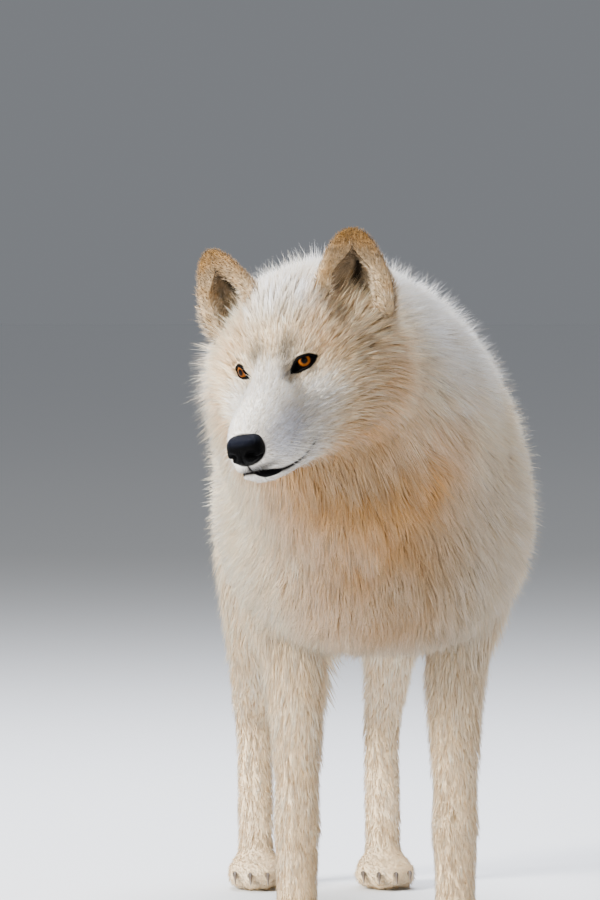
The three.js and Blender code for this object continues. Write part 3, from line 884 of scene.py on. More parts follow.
def markings(points, looks):
    """The coat's colours at points of the body: cream, whiter above and on the muzzle, golden on the throat,
    ruff and chest, grey on the inner brows and about the eyes, and black at the lips and the ears' slits.
    Painted light and shade go in with them: shade on the wolf's left chest and side and under the throat,
    shade with the gold under the chest, a cool tint of shade on the sides of the muzzle, white light over the
    hollow under the eyes, black under the nose that is partly dark lip and partly shade, black shade in the
    ears' canals, and grey shade along the mouth's groove and round the lids' bare band."""
    place = in_head(points)
    colour = np.tile(looks.cream[:], (len(points), 1))
    mottle = noise(points, 34, 11) + 0.6 * noise(points * [1, 1, 0.5], 11, 12)
    head = smoothstep(140, 60, place[:, 1]) * (np.linalg.norm(place * [1, 0.6, 1], axis=1) < 190)
    high = smoothstep(600, 700, points[:, 2]) * smoothstep(-360, -270, points[:, 1])
    colour = mixed(colour, looks.white, 0.9 * high + 0.12 * mottle)
    golden = [
        (blob(points, (20, -310, 525), (110, 110, 110), 1.4), 0.8),
        (blob(points, (-20, -250, 450), (130, 120, 130), 1.4), 0.66),
        (blob(points, (-90, -330, 530), (60, 70, 60), 1.6), 0.62),
        (blob(points, (0, -170, 370), (130, 80, 60), 1.6), 0.55),
        (both_sides(place, (106, 60, -58), (38, 64, 58), 1.3), 0.55),
        (both_sides(place, (60, 36, -108), (60, 60, 34), 1.4), 0.72),
        (both_sides(place, (56, 62, 66), (36, 36, 34), 1.4), 0.42),
        (both_sides(place, (66, 26, 20), (34, 26, 30), 1.4), 0.32),
        # Gold under the chest behind the forelegs: the coat's own gold, with painted shade under the chest in
        # it.
        (blob(points, (0, 60, 330), (60, 90, 60), 2), 0.7),
    ]
    for golden_share, strength in golden:
        colour = mixed(colour, looks.gold, golden_share * strength * (1 + 0.35 * mottle))
    # Painted shade: the wolf's left chest and side, away from the key light, and the throat under the head
    # are darkened.
    painted_shade = 0.34 * blob(points, (105, -170, 430), (155, 190, 170), 1.5)
    painted_shade += 0.3 * blob(points, (-35, -350, 545), (95, 65, 65), 2)
    colour = colour * (1 - painted_shade[:, None])
    crown = head * smoothstep(30, 60, place[:, 2]) * smoothstep(52, 24, np.abs(place[:, 0]))
    muzzle = smoothstep(6, -30, place[:, 1])
    # White under the eyes: a marking, spread over the hollow between muzzle and cheek as painted light that
    # lifts its shade.
    white_under_eye_and_painted_light = both_sides(place, (48, -16, -34), (30, 34, 26), 1.4)
    for white_share in (crown * 0.8, muzzle * 0.9, white_under_eye_and_painted_light * 0.95):
        colour = mixed(colour, looks.white, white_share)
    # The sides of the muzzle in cool white: the bluish tint of their shade, painted into the colour.
    pads = both_sides(place, (32, -78, -50), (22, 38, 24), 2)
    colour = mixed(colour, looks.cool_shade, pads * 0.85)
    streaky = 0.85 + 0.3 * mottle + 0.5 * noise(place * [1, 0.3, 1], 2.6, 14)
    brows = both_sides(place, (19, 0, 22), (12, 17, 15), 1.1)
    tears = both_sides(place, (18, -10, 9), (7, 12, 9), 1.3)
    colour = mixed(colour, looks.grey, (0.72 * brows + 0.32 * tears) * streaky)
    colour = mixed(colour, looks.grey, 0.55 * along_line(place, (47, 6, 5), (68, 13, -3), 2.2))
    # Black under the nose: partly the dark upper lip, partly painted shade under the nose.
    under_nose_dark_and_shade = blob(place, (7, -119, -69.5), (20, 16, 5), 2)
    # Black along the ear's canal: painted shade in its opening.
    ear_canal_shade = along_line(place, *EAR_CANAL_SHADE, 6)
    height, past = lip_distance(place)
    at_lips = np.exp(-((height + 0.5) ** 2 + past**2) / 3.2**2) * smoothstep(-10, -40, place[:, 1])
    corner = np.exp(-(height**2 + (place[:, 1] - LIP_CORNER) ** 2) / 5.5**2)
    # Grey and black along the mouth's line: partly dark fur by the black lips, partly painted shade in the
    # groove between them.
    colour = mixed(colour, looks.grey, 0.9 * at_lips)
    for black_share in (0.85 * under_nose_dark_and_shade, 0.9 * ear_canal_shade, np.maximum(0.85 * corner, 0.8 * at_lips**2)):
        colour = mixed(colour, looks.black, black_share)
    # Grey just outside the lids' bare band: painted shade on the skin round the lids.
    return mixed(colour, looks.grey, 0.6 * smoothstep(4.4, 2.3, lid_gap(place)))


def bare_parts(points, colour, looks):
    """The coat's colours with black lips, lids and skin round the nose over them, and how bare each point
    is. The lips' black band is thin along the side and broader at the front, on the left, and the corner."""
    place = in_head(points)
    height, past = lip_distance(place)
    from_middle = np.where(place[:, 0] > 0, place[:, 0], -0.45 * place[:, 0] - 3)
    thin = 1 - 0.6 * smoothstep(3, -2, place[:, 0]) * (place[:, 1] < -100)
    front = smoothstep(-90, -114, place[:, 1]) * (0.1 + 0.9 * smoothstep(0, 9, from_middle))
    corner = bell(place[:, 1], LIP_CORNER, 5)
    under = 1.1 * thin + 5.6 * front + 2.2 * corner
    over = 0.8 * thin + 1.4 * front + 1.6 * corner
    low = smoothstep(-under - 0.8, -under + 0.4, height) * smoothstep(over + 0.6, over - 0.4, height)
    lips = low * smoothstep(3.0, 1.0, past) * (place[:, 1] < 0)
    lids = smoothstep(LID_BAND + 0.6, LID_BAND - 0.5, lid_gap(place))
    nose = np.linalg.norm((place - NOSE_CENTRE) / NOSE_RADII, axis=1)
    around_nose = smoothstep(1.16, 1.04, nose)
    philtrum = bell(place[:, 0], 0, 2.2) * (height > 0) * (place[:, 1] < -112) * (place[:, 2] < -56)
    bare = np.maximum.reduce([lips, lids, around_nose, philtrum])
    return mixed(colour, looks.black, bare), bare


# ---------------------------------------------------------------- hair over the skin

# For each kind of form: gravity's pull on the lie of the hair, its lift in degrees, tufts per square metre
# and a tuft's breadth in mm.
PULL, LIFT, CROWD, BREADTH = range(4)
HAIR = {
    "head": (0.0, 14, 500e3, 0.6),
    "neck": (0.9, 28, 250e3, 0.95),
    "trunk": (0.45, 24, 220e3, 1.05),
    "tail": (0.2, 26, 80e3, 2.0),
    "leg": (0.35, 13, 140e3, 1.0),
    "paw": (0.1, 15, 160e3, 0.9),
    "ear": (0.0, 36, 400e3, 0.7),
}
FACE_END = 20  # y in the head's frame
CHEST_END, FLANK_END, FORELEG_END = 40, 420, 300  # y in the wolf's frame
LIE_ROUNDS, DEPTH_ROUNDS, RULE_ROUNDS = 14, 12, 8  # rounds of smoothing from vertex to vertex
ZONES = ("face", "cheek_left", "cheek_right", "ears", "neck_left", "neck_right", "chest_left", "chest_right",
         "flank_left", "flank_right", "rump", "forelegs", "hindlegs", "tail", "paws")


def kind_of(form):
    """The kind of hair on a form."""
    return form.name.split("_")[0]


def form_samples(form):
    """Every second place of a form: its skin, hair, coat depth, and its unwrap (u around, v along) with the
    two vectors whose dot product with a step away from the place gives the change of u and of v."""
    skin = form.skin[::2, ::2]
    rows, columns = skin.shape[:2]
    around = np.roll(skin, -1, axis=1) - skin
    along = np.gradient(skin, axis=0)
    to_u = around / (np.sum(around**2, -1, keepdims=True) + 1e-6) / columns
    to_v = along / (np.sum(along**2, -1, keepdims=True) + 1e-6) / rows
    u, v = np.meshgrid((np.arange(columns) + 0.5) / columns, (np.arange(rows) + 0.5) / rows)
    sizes = [np.linalg.norm(step, axis=-1).sum(axis).mean() for step, axis in ((around, 1), (along, 0))]
    parts = [skin, form.hair[::2, ::2], form.depth[::2, ::2, None], to_u, to_v, u[..., None], v[..., None]]
    parts.append(np.broadcast_to(sizes, skin.shape[:2] + (2,)))
    return np.concatenate(parts, -1).reshape(rows * columns, -1)


def hair_fields(points, forms):
    """What the coat needs at points of the skin, from the nearest place of the forms: the lie of the hair,
    the coat's depth, the rules of its kind of hair, the form's number, the unwrap and its size in mm."""
    tables = [form_samples(form) for form in forms]
    table = np.concatenate(tables)
    number = np.repeat(np.arange(len(forms)), [len(t) for t in tables])
    found = nearest_samples(points, table[:, :3])
    place, hair, depth, to_u, to_v, uv, sizes = np.split(table[found], [3, 6, 7, 10, 13, 15], axis=1)
    step = points - place
    turn = np.column_stack([np.sum(step * to_u, 1), np.sum(step * to_v, 1)])
    rules = np.array([HAIR[kind_of(form)] for form in forms])[number[found]]
    return hair, depth[:, 0], rules, number[found], np.clip(uv + turn, 0, 1), sizes


def comb(points, normals, hair, rules, kinds):
    """The lie of the hair: its form's own way, bent down by gravity, most on the breast and the cheeks, then
    pressed into the skin's plane."""
    place = in_head(points)
    pull = rules[:, PULL].copy()
    pull += (kinds == "trunk") * 1.5 * smoothstep(60, -140, points[:, 1])
    pull += (kinds == "head") * 0.9 * smoothstep(0, 70, place[:, 1]) * smoothstep(40, 0, place[:, 2])
    return flat_on(hair + pull[:, None] * [0, 0, -1.0], normals)


def zone_of(points, kinds):
    """The number of the coat's zone at each point: the first of the zones, in their order, that fits it."""
    place, y = in_head(points), points[:, 1]
    head, neck, trunk, leg = (kinds == kind for kind in ("head", "neck", "trunk", "leg"))
    left, head_left = points[:, 0] > SPINE(y)[:, 0], place[:, 0] > 0
    rules = [
        head & (place[:, 1] < FACE_END), head & head_left, head, kinds == "ear", neck & head_left, neck,
        trunk & (y < CHEST_END) & left, trunk & (y < CHEST_END), trunk & (y < FLANK_END) & left,
        trunk & (y < FLANK_END), trunk, leg & (y < FORELEG_END), leg, kinds == "tail", kinds == "paw",
    ]
    return np.select(rules, np.arange(len(rules)), 0)


def skin_values(points, normals, ends, forms, looks):
    """The coat's values at every vertex of the skin, smoothed over their neighbours."""
    hair, depth, rules, number, unwrap, sizes = hair_fields(points, forms)
    kinds = np.array([kind_of(form) for form in forms])[number]
    place = in_head(points)
    back = smoothstep(-30, 60, place[:, 1]) * (kinds == "head")
    crown = smoothstep(10, 50, place[:, 2])
    rules[:, LIFT] += (20 - 13 * crown) * back
    rear = smoothstep(40, 220, points[:, 1]) * ((kinds == "trunk") | (kinds == "neck"))
    nape = smoothstep(80, 150, place[:, 1]) * smoothstep(30, 80, place[:, 2]) * (kinds == "neck")
    # Sparser hair over the ear's canal, so that its painted shade shows.
    ear_canal_shade = along_line(place, *EAR_CANAL_SHADE, 8)
    rear_leg = (points[:, 1] > 400) & (kinds == "leg")
    # a part of the body, how much sparser the hair is there, and how much broader its tufts are, in mm
    for part, sparser, broader in ((back, 0.3, 0.2), (rear, 0.77, 1.25), (nape, 0.4, 0.4),
                                   (ear_canal_shade, 0.92, 0), (rear_leg, 0.5, 0.5)):
        rules[:, CROWD] *= 1 - sparser * part
        rules[:, BREADTH] += broader * part
    before_ear = np.clip(both_sides(place, (71, 54, 46), (17, 40, 25), 2), 0, 1)
    lips = bell(np.hypot(*lip_distance(place)), 0, 6) * (kinds == "head")
    for part, shorter in ((before_ear, 0.8), (lips, 0.6), (nape, 0.4)):
        depth *= 1 - shorter * part
    soft = np.where(place[:, 1] < FACE_END, 0.1, 0.5)
    lie = flat_on(relaxed(comb(points, normals, hair, rules, kinds), ends, LIE_ROUNDS, soft), normals)
    depth = relaxed(depth, ends, DEPTH_ROUNDS, soft)
    rules = relaxed(rules, ends, RULE_ROUNDS, soft)
    marking, bare = bare_parts(points, markings(points, looks), looks)
    crowd = rules[:, CROWD] * (1 - bare)
    return dict(lie=lie, depth=depth, lift=rules[:, LIFT], crowd=crowd, breadth=rules[:, BREADTH],
                number=number.astype(float), zone=zone_of(points, kinds).astype(float),
                unwrap=np.column_stack([unwrap, 0 * depth]), marking=marking,
                streak=np.column_stack([unwrap * sizes, number * 40]))


def ear_part(sign, number, looks):
    """An ear with the coat's values: tan at the tip, cream and grey-brown below it, all mottled, a grey band
    of painted shade on the cup and rims above the slit, and in the cup a black slit, painted shade in the
    opening of the canal, whose middle goes from the outer side at the top to the inner side below."""
    form = ear_form(sign)
    points, quads, triangles = outward(*capped(form.skin))
    rows, columns = form.skin.shape[:2]

    def at_vertices(values):
        """Values at the grid's points, and those of its first point again for the two caps."""
        flat = values.reshape(rows * columns, -1)
        return np.concatenate([flat, flat[:1], flat[-1:]])

    inside = at_vertices(form.inside)[:, 0]
    share = at_vertices(np.repeat(form.share, columns))[:, 0]
    across = at_vertices(np.tile(np.linspace(0, 1, columns, endpoint=False), rows))[:, 0]
    middle = (inside == 1) * np.clip(1 - np.abs(at_vertices(form.across)[:, 0]), 0, 1)
    _, lift, crowd, breadth = HAIR["ear"]
    mottle = noise(points, 7, 13)
    off_centre = at_vertices(form.across)[:, 0] * form.inner_side
    colour = np.tile(looks.ear_tan[:], (len(points), 1))
    colour = mixed(colour, looks.gold, smoothstep(0.95, 0.75, share) * 0.2)
    colour = mixed(colour, looks.cream, smoothstep(0.9, 0.3, share) * (0.6 + 0.4 * mottle))
    # A grey band on the cup and rims above the slit: painted shade in the cup.
    upper = 0.45 * (inside > 0) * smoothstep(0.5, 0.62, share) * smoothstep(0.85, 0.7, share)
    cup = (inside == 1) * smoothstep(0.02, 0.25, middle) * smoothstep(0.96, 0.84, share)
    for grey_share in (0.25 + 0.25 * mottle, upper, cup * (0.4 + 0.4 * mottle)):
        colour = mixed(colour, looks.ear_grey, grey_share)
    colour = colour * (1 + 0.3 * noise(points, 3.2, 15) + 0.2 * noise(points, 1.8, 16))[:, None]
    # The black slit is painted shade in the opening of the ear's canal.
    slit = np.exp(-(((off_centre - (0.45 - 1.3 * share)) / 0.28) ** 4))
    slit = (inside == 1) * slit * smoothstep(0.66, 0.54, share)
    colour = mixed(colour, looks.black, slit * 0.97)
    ones = np.ones(len(points))
    values = dict(lie=unit(at_vertices(form.hair)), depth=at_vertices(form.depth)[:, 0],
                  lift=ones * lift + 6 * (inside > 0), crowd=ones * crowd * (1 - 0.9 * slit),
                  breadth=ones * breadth, number=ones * number, zone=ones * ZONES.index("ears"),
                  marking=colour, unwrap=np.column_stack([across, share, 0 * share]),
                  streak=np.column_stack([across * 90, share * 110, ones * 900]))
    return points, quads, triangles, values


def build_skin(looks):
    """The one skin of the wolf with its ears, and on it every value that the coat is grown from.

    It is smoothed all over, least in front of the eyes, and then many times more where neck, trunk and
    forelegs meet on the chest.
    """
    forms = [head_form(), neck_form(), trunk_form(), tail_form(), *limb_forms()]
    body = remeshed(forms, looks.skin_cell / MM)
    mesh = body.data
    points = vertex_places(mesh)
    front = smoothstep(60, 0, in_head(points)[:, 1])
    chest = blob(points, (0, -140, 500), (260, 150, 190), 2)
    for rounds, strength in ((8, 0.5 - 0.35 * front), (70, 0.6 * chest * (1 - front))):
        points = relaxed(points, edge_ends(mesh), rounds, strength)
    move_vertices(mesh, on_floor(points, 0))
    finer_face(body, forms[0])
    points = sculpt_eyes(vertex_places(mesh))
    move_vertices(mesh, points)
    points = sculpt_mouth(points, vertex_normals(mesh))
    move_vertices(mesh, points)
    values = skin_values(points, vertex_normals(mesh), edge_ends(mesh), forms, looks)
    parts = [(points, *faces_of(mesh), values)]
    parts += [ear_part(sign, len(forms) + k, looks) for k, sign in enumerate((1, -1))]
    bpy.data.objects.remove(body)
    points, quads, triangles = joined([part[:3] for part in parts])
    skin = new_mesh("skin", placed(points), quads, triangles)
    values = {name: np.concatenate([part[3][name] for part in parts]) for name in values}
    set_marking(skin.data, values.pop("marking"))
    for name, value in values.items():
        set_attribute(skin.data, name, value)
    return skin


def build_lids(around=96, sides=10):
    """The lids' rims: a dark tube along the lids' line, 1.3 mm in radius above the eye and 1 mm below."""
    surfaces = []
    for sign in (1, -1):
        gaze, out, up = lid_axes(sign)
        turn = round_turn(around)
        a = (LID_IN[sign] + LID_OUT) / 2 + (LID_OUT - LID_IN[sign]) / 2 * np.cos(turn)
        top, low = lid_line(a, sign)
        b = np.where(turn < math.pi, top, low)
        ahead = lid_reach(np.hypot(a, b)) - 0.1
        line = EYE_CENTRE[sign] + ahead[:, None] * gaze + a[:, None] * out + b[:, None] * up
        line = (line + np.roll(line, 1, 0) + np.roll(line, -1, 0)) / 3
        tangent = unit(np.roll(line, -1, 0) - np.roll(line, 1, 0))
        side = unit(np.cross(tangent, gaze))
        thick = 1.0 + 0.3 * (turn < math.pi)
        phase = round_turn(sides)[None, :, None]
        ring = np.cos(phase) * side[:, None] + np.sin(phase) * gaze
        points = on_head((line[:, None] + thick[:, None, None] * ring).reshape(-1, 3))
        surfaces.append(outward(points, grid_faces(around, sides, closed_rows=True), np.zeros((0, 3), int)))
    points, quads, triangles = joined(surfaces)
    return new_mesh("lids", placed(points), quads, triangles)


# ---------------------------------------------------------------- the coat


def triangles_of(mesh):
    """The corners of every triangle of a mesh."""
    mesh.calc_loop_triangles()
    return read(mesh.loop_triangles, "vertices", 3, np.int32)


def roots_in(mesh, zone, share, random):
    """Random roots over one zone of the skin, as crowded as its crowd value says.

    Roots are dealt along the running total of area x crowd, one to each equal part of it. Returned is a
    table of every value there, by name, worked out from the corners of the triangle that holds the root.
    """
    points, normals = vertex_places(mesh), vertex_normals(mesh)
    corners = triangles_of(mesh)
    corners = corners[np.round(get_attribute(mesh, "zone")[corners[:, 0]]) == zone]
    a, b, c = (points[corners[:, k]] for k in range(3))
    area = np.linalg.norm(np.cross(b - a, c - a), axis=1) / 2 * MM * MM
    crowd = get_attribute(mesh, "crowd")[corners].mean(1)
    total = np.cumsum(area * crowd * share)
    count = int(total[-1])
    deal = (np.arange(count) + random.uniform(0, 1, count)) / count * total[-1]
    chosen = corners[np.minimum(np.searchsorted(total, deal), len(corners) - 1)]
    r, s = np.sqrt(random.uniform(0, 1, count)), random.uniform(0, 1, count)
    weights = np.stack([1 - r, r * (1 - s), r * s], -1)[..., None]

    def at_root(values):
        """Values at the roots, mixed from the corners of their triangles."""
        return np.sum(values.reshape(len(points), -1)[chosen] * weights, axis=1)

    found = {name: at_root(get_attribute(mesh, name))[:, 0] for name in ("depth", "lift", "breadth")}
    found["place"], found["normal"] = at_root(points), unit(at_root(normals))
    found["lie"] = unit(at_root(get_attribute(mesh, "lie", 3)))
    found["streak"] = at_root(get_attribute(mesh, "streak", 3))
    found["colour"] = at_root(get_attribute(mesh, "marking", 4))[:, :3]
    unwrap = get_attribute(mesh, "unwrap", 3)
    spread = np.ptp(unwrap[chosen], axis=1).max(1) > 0.3
    found["unwrap"] = np.where(spread[:, None], unwrap[chosen[:, 0]], at_root(unwrap))[:, :2]
    found["number"] = get_attribute(mesh, "number")[chosen[:, 0]]
    return found


def swirl(points, grain, seed):
    """A smooth random direction at each point: noise along X, Y and Z."""
    return np.stack([noise(points, grain, seed + k) for k in range(3)], -1)


def locks_of(root, zone, across, along):
    """The number of the lock that each tuft belongs to: one for every cell of warped space, and on the head
    one for every cell of the unwrap, narrow across the lie and long down it."""
    warped = root["place"] + 0.35 * across * swirl(root["place"], 2.2 * across, 31)
    if zone in HEAD_ZONES:
        warped = root["streak"] + 0.6 * across * swirl(root["place"], 3 * across, 31)
    cell = np.floor(warped / [across, along, across]).astype(np.int64)
    return np.unique(cell @ HASH, return_inverse=True)[1]


def gathered(tips, lie, lock, pull, random):
    """Tips drawn together into locks: a share of the way across the lie to the mean tip of the lock."""
    count = np.bincount(lock)
    middle = np.stack([np.bincount(lock, tips[:, k]) / count for k in range(3)], -1)
    step = middle[lock] - tips
    step -= 0.7 * lie * np.sum(step * lie, axis=1, keepdims=True)
    return tips + (pull * random.uniform(0.6, 1.2, len(count)))[lock, None] * step


def blade_mesh(name, roots, controls, tips, normals, breadth, flatness, rings, random):
    """Tufts as closed spindles: rings of three points along a bent path, with a point at each end.

    The path is (1-t)^2 root + 2t(1-t) control + t^2 tip. A ring's points stand half a breadth to each side
    and flatness x breadth up, scaled by the tuft's taper.
    """
    count = len(roots)
    stations = {1: [(0.34, 1.0)], 2: [(0.2, 0.95), (0.62, 0.8)]}[rings]
    roll = random.normal(0, 0.45, count)[:, None]
    parts = [roots[:, None]]
    for t, taper in stations:
        centre = (1 - t) ** 2 * roots + 2 * t * (1 - t) * controls + t * t * tips
        tangent = unit((1 - t) * (controls - roots) + t * (tips - controls))
        side = unit(np.cross(tangent, normals))
        up = np.cross(side, tangent)
        side, up = side * np.cos(roll) + up * np.sin(roll), up * np.cos(roll) - side * np.sin(roll)
        half = (0.5 * taper * breadth)[:, None]
        high = (flatness * taper * breadth)[:, None]
        parts.append(np.stack([centre - half * side, centre + half * side, centre + high * up], 1))
    parts.append(tips[:, None])
    points = np.concatenate(parts, axis=1)
    last = points.shape[1] - 1
    ends = [(0, 1, 2), (0, 2, 3), (0, 3, 1)]
    ends += [(last, last - 2, last - 3), (last, last - 1, last - 2), (last, last - 3, last - 1)]
    walls = [(2, 1, 4, 5), (3, 2, 5, 6), (1, 3, 6, 4)][:3 * (rings - 1)]
    starts = (np.arange(count) * (last + 1))[:, None, None]
    triangles = (np.array(ends)[None] + starts).reshape(-1, 3)
    quads = (np.array(walls, int).reshape(1, -1, 4) + starts).reshape(-1, 4)
    return new_mesh(name, placed(on_floor(points.reshape(-1, 3))), triangles, quads)


BAKE_PATCH = 0.003  # breadth of a tuft's patch on the map


def bake_map(mesh, unwrap, number, along):
    """The map OFBake: each tuft is a small patch at its root's place on its form's unwrap, and the forms of
    one piece stand side by side."""
    forms = np.unique(number)
    tile = np.searchsorted(forms, number)
    u = (tile + 0.02 + 0.96 * unwrap[:, 0]) / len(forms)
    v = 0.01 + 0.98 * unwrap[:, 1]
    rings = [(x, a + lift) for a in along for x, lift in ((0.0, 0.0), (1.0, 0.0), (0.5, 0.1))]
    patch = (np.array([(0.5, 0.0), *rings, (0.5, 1.0)]) - 0.5) * BAKE_PATCH
    places = (np.stack([u, v], -1)[:, None] + patch[None]).reshape(-1, 2)
    corners = read(mesh.loops, "vertex_index", kind=np.int32)
    layer = mesh.uv_layers.new(name="OFBake")
    layer.data.foreach_set("uv", np.clip(places[corners], 0, 1).astype(np.float32).ravel())


HEAD_ZONES = ("face", "cheek_left", "cheek_right")
# For each zone: how far the hair strays from its lie, the width and length of its locks in mm, how far their
# tips draw together, and the most that a tuft reaches along the skin in mm; the others have the usual habit.
HABIT = {
    "face": (0.3, 2.6, 9, 0.7, 13), "ears": (0.8, 3, 5, 0.5, 18), "paws": (0.4, 6, 6, 0.3, 14),
    "forelegs": (0.45, 9, 9, 0.5, 34), "hindlegs": (0.5, 12, 12, 0.5, 44),
    "cheek_left": (0.6, 4, 16, 0.7, 40), "cheek_right": (0.6, 4, 16, 0.7, 40),
}
USUAL_HABIT = (0.9, 13, 13, 0.5, 60)
# How golden the roots of a zone's hair are, and how far its tufts differ in tone and how deep the painted
# shade at their roots is.
WARMTH, USUAL_WARMTH = {"face": 0.12, "ears": 0.2}, 0.4
CONTRAST = {"face": 0.85, "forelegs": 0.5, "hindlegs": 0.5, "paws": 0.6, "tail": 0.7, "chest_left": 0.8,
            "chest_right": 0.8, "ears": 1.5}
USUAL_CONTRAST = 1.0
FINE_SHARE = 0.14  # tufts that are fine stray hairs
TUFT_RING, TUFT_FLATNESS = 0.3, 0.3  # where on the map a tuft's ring lies, and its height by its breadth
WHISKER_RINGS, WHISKER_FLATNESS = (0.2, 0.62), 0.9


def clear_of_lids(roots, tips):
    """The share of each tuft's length that keeps it off the bare rims of the lids."""
    gap, gap_at_tip = lid_gap(in_head(roots)), lid_gap(in_head(tips))
    share = (gap - LID_BAND + 0.6) / np.maximum(gap - gap_at_tip, 0.01)
    return np.where(gap_at_tip < LID_BAND - 0.6, np.clip(share, 0.12, 1), 1)


def hair_colours(root, fine, lock, contrast, warmth, looks, random):
    """The colour of every tuft at its root, its broadest place and its tip: warmer towards the root and
    darker there with painted shade deep in the coat, paler at the tip, and each tuft and each lock a little
    off its neighbours."""
    count = len(fine)
    base = root["colour"]
    furred = smoothstep(0.25, 0.5, base.mean(1))
    # The darkening towards the root, 0.58 x contrast there and 0.12 x contrast at the middle, is painted
    # shade deep in the coat.
    low = mixed(base, looks.gold, warmth * furred) * (1 - 0.58 * contrast)
    middle = mixed(base, looks.gold, 0.08 * furred) * (1 - 0.12 * contrast)
    high = mixed(base, looks.white, 0.28 * furred) * 1.06
    by_lock = random.normal(0, 0.13, lock.max() + 1)[lock]
    tone = 1 + contrast * (by_lock + 0.1 * random.normal(0, 1, count)) + 0.05 * fine
    warm = np.array([1.0, 0.97, 0.91]) ** (random.normal(0, 0.8, count) - 6 * by_lock)[:, None]
    rows = np.stack([low, middle, middle, middle, high], axis=1)
    return np.clip(rows * (tone[:, None] * warm)[:, None], 0.002, 0.97).reshape(-1, 3)


def grow_coat(skin, zone, looks):
    """The coat of one zone of the skin as one joined mesh of tufts.

    A tuft rises h = depth x (0.4 to 1.05) over the skin and lies h / tan(lift) along it; its path bends, so
    that it leaves the skin steeply and its tip lies flatter. One tuft in seven is a fine stray hair, half as
    broad and lifted by half as much again; it rises by a third more, or two thirds more on the head.
    """
    number = ZONES.index(zone)
    random = np.random.RandomState(SEED + number)
    root = roots_in(skin.data, number, looks.crowd, random)
    place, normal, depth = root["place"], root["normal"], root["depth"]
    count = len(place)
    stray, across, along, pull, longest = HABIT.get(zone, USUAL_HABIT)
    fine = random.uniform(0, 1, count) < FINE_SHARE
    lock = locks_of(root, zone, across, along)
    wander = 0.34 * swirl(place, 42, 41) + 0.24 * swirl(place, 13, 51) + random.normal(0, 0.12, (count, 3))
    by_lock = random.normal(0, 0.14, (lock.max() + 1, 3))[lock]
    wander += by_lock + fine[:, None] * random.normal(0, 0.3, (count, 3))
    lie = flat_on(root["lie"] + stray * wander, normal)
    rise = depth * random.uniform(0.4, 1.05, count)
    lift = np.radians(np.clip(root["lift"] * random.uniform(0.75, 1.3, count) * (1 + 0.5 * fine), 8, 64))
    reach = rise / np.tan(lift)
    reach = longest * np.tanh(reach / longest)
    rise = rise * (1 + (0.65 if zone in HEAD_ZONES else 0.35) * fine)
    tips = place + normal * rise[:, None] + lie * reach[:, None]
    tips = np.where(fine[:, None], tips, gathered(tips, lie, lock, pull, random))
    if zone == "face":
        tips = place + clear_of_lids(place, tips)[:, None] * (tips - place)
    controls = place + 0.6 * normal * rise[:, None] + 0.45 * lie * reach[:, None]
    roots = place - normal
    breadth = root["breadth"] * random.uniform(0.7, 1.25, count) * (1 - 0.5 * fine)
    coat = blade_mesh(f"coat_{zone}", roots, controls, tips, normal, breadth, TUFT_FLATNESS, 1, random)
    contrast, warmth = CONTRAST.get(zone, USUAL_CONTRAST), WARMTH.get(zone, USUAL_WARMTH)
    set_marking(coat.data, hair_colours(root, fine, lock, contrast, warmth, looks, random))
    bake_map(coat.data, root["unwrap"], root["number"], (TUFT_RING,))
    return coat


# ---------------------------------------------------------------- eyes, nose, claws and whiskers


def build_eye(side, rings=72, around=96):
    """An eyeball about its line of gaze: a sphere whose cornea bulges 1.2 * (1 - (r / 7.8)^2) mm."""
    sign = 1 if side == "left" else -1
    gaze, out, up = axes_of(sign, *GAZE[sign])
    angle = np.linspace(0.01, math.pi - 0.01, rings)
    turn = round_turn(around)
    r = EYEBALL * np.sin(angle)
    ahead = EYEBALL * np.cos(angle)
    ahead = ahead + (ahead > 0) * CORNEA_RISE * np.clip(1 - (r / CORNEA_REACH) ** 2, 0, 1)
    ring = np.cos(turn)[:, None] * out + np.sin(turn)[:, None] * up
    grid = EYE_CENTRE[sign] + ahead[:, None, None] * gaze + r[:, None, None] * ring[None]
    points, quads, triangles = outward(*capped(grid))
    made = new_mesh(f"eyeball_{side}", placed(on_head(points)), quads, triangles)
    turns = np.concatenate([np.tile(turn, rings), [0, 0]])
    radius = np.concatenate([np.repeat(np.where(ahead > 0, r, 30), around), [0, 30]])
    set_attribute(made.data, "iris", np.column_stack([radius, np.cos(turns) * 3, np.sin(turns) * 3]))
    return made


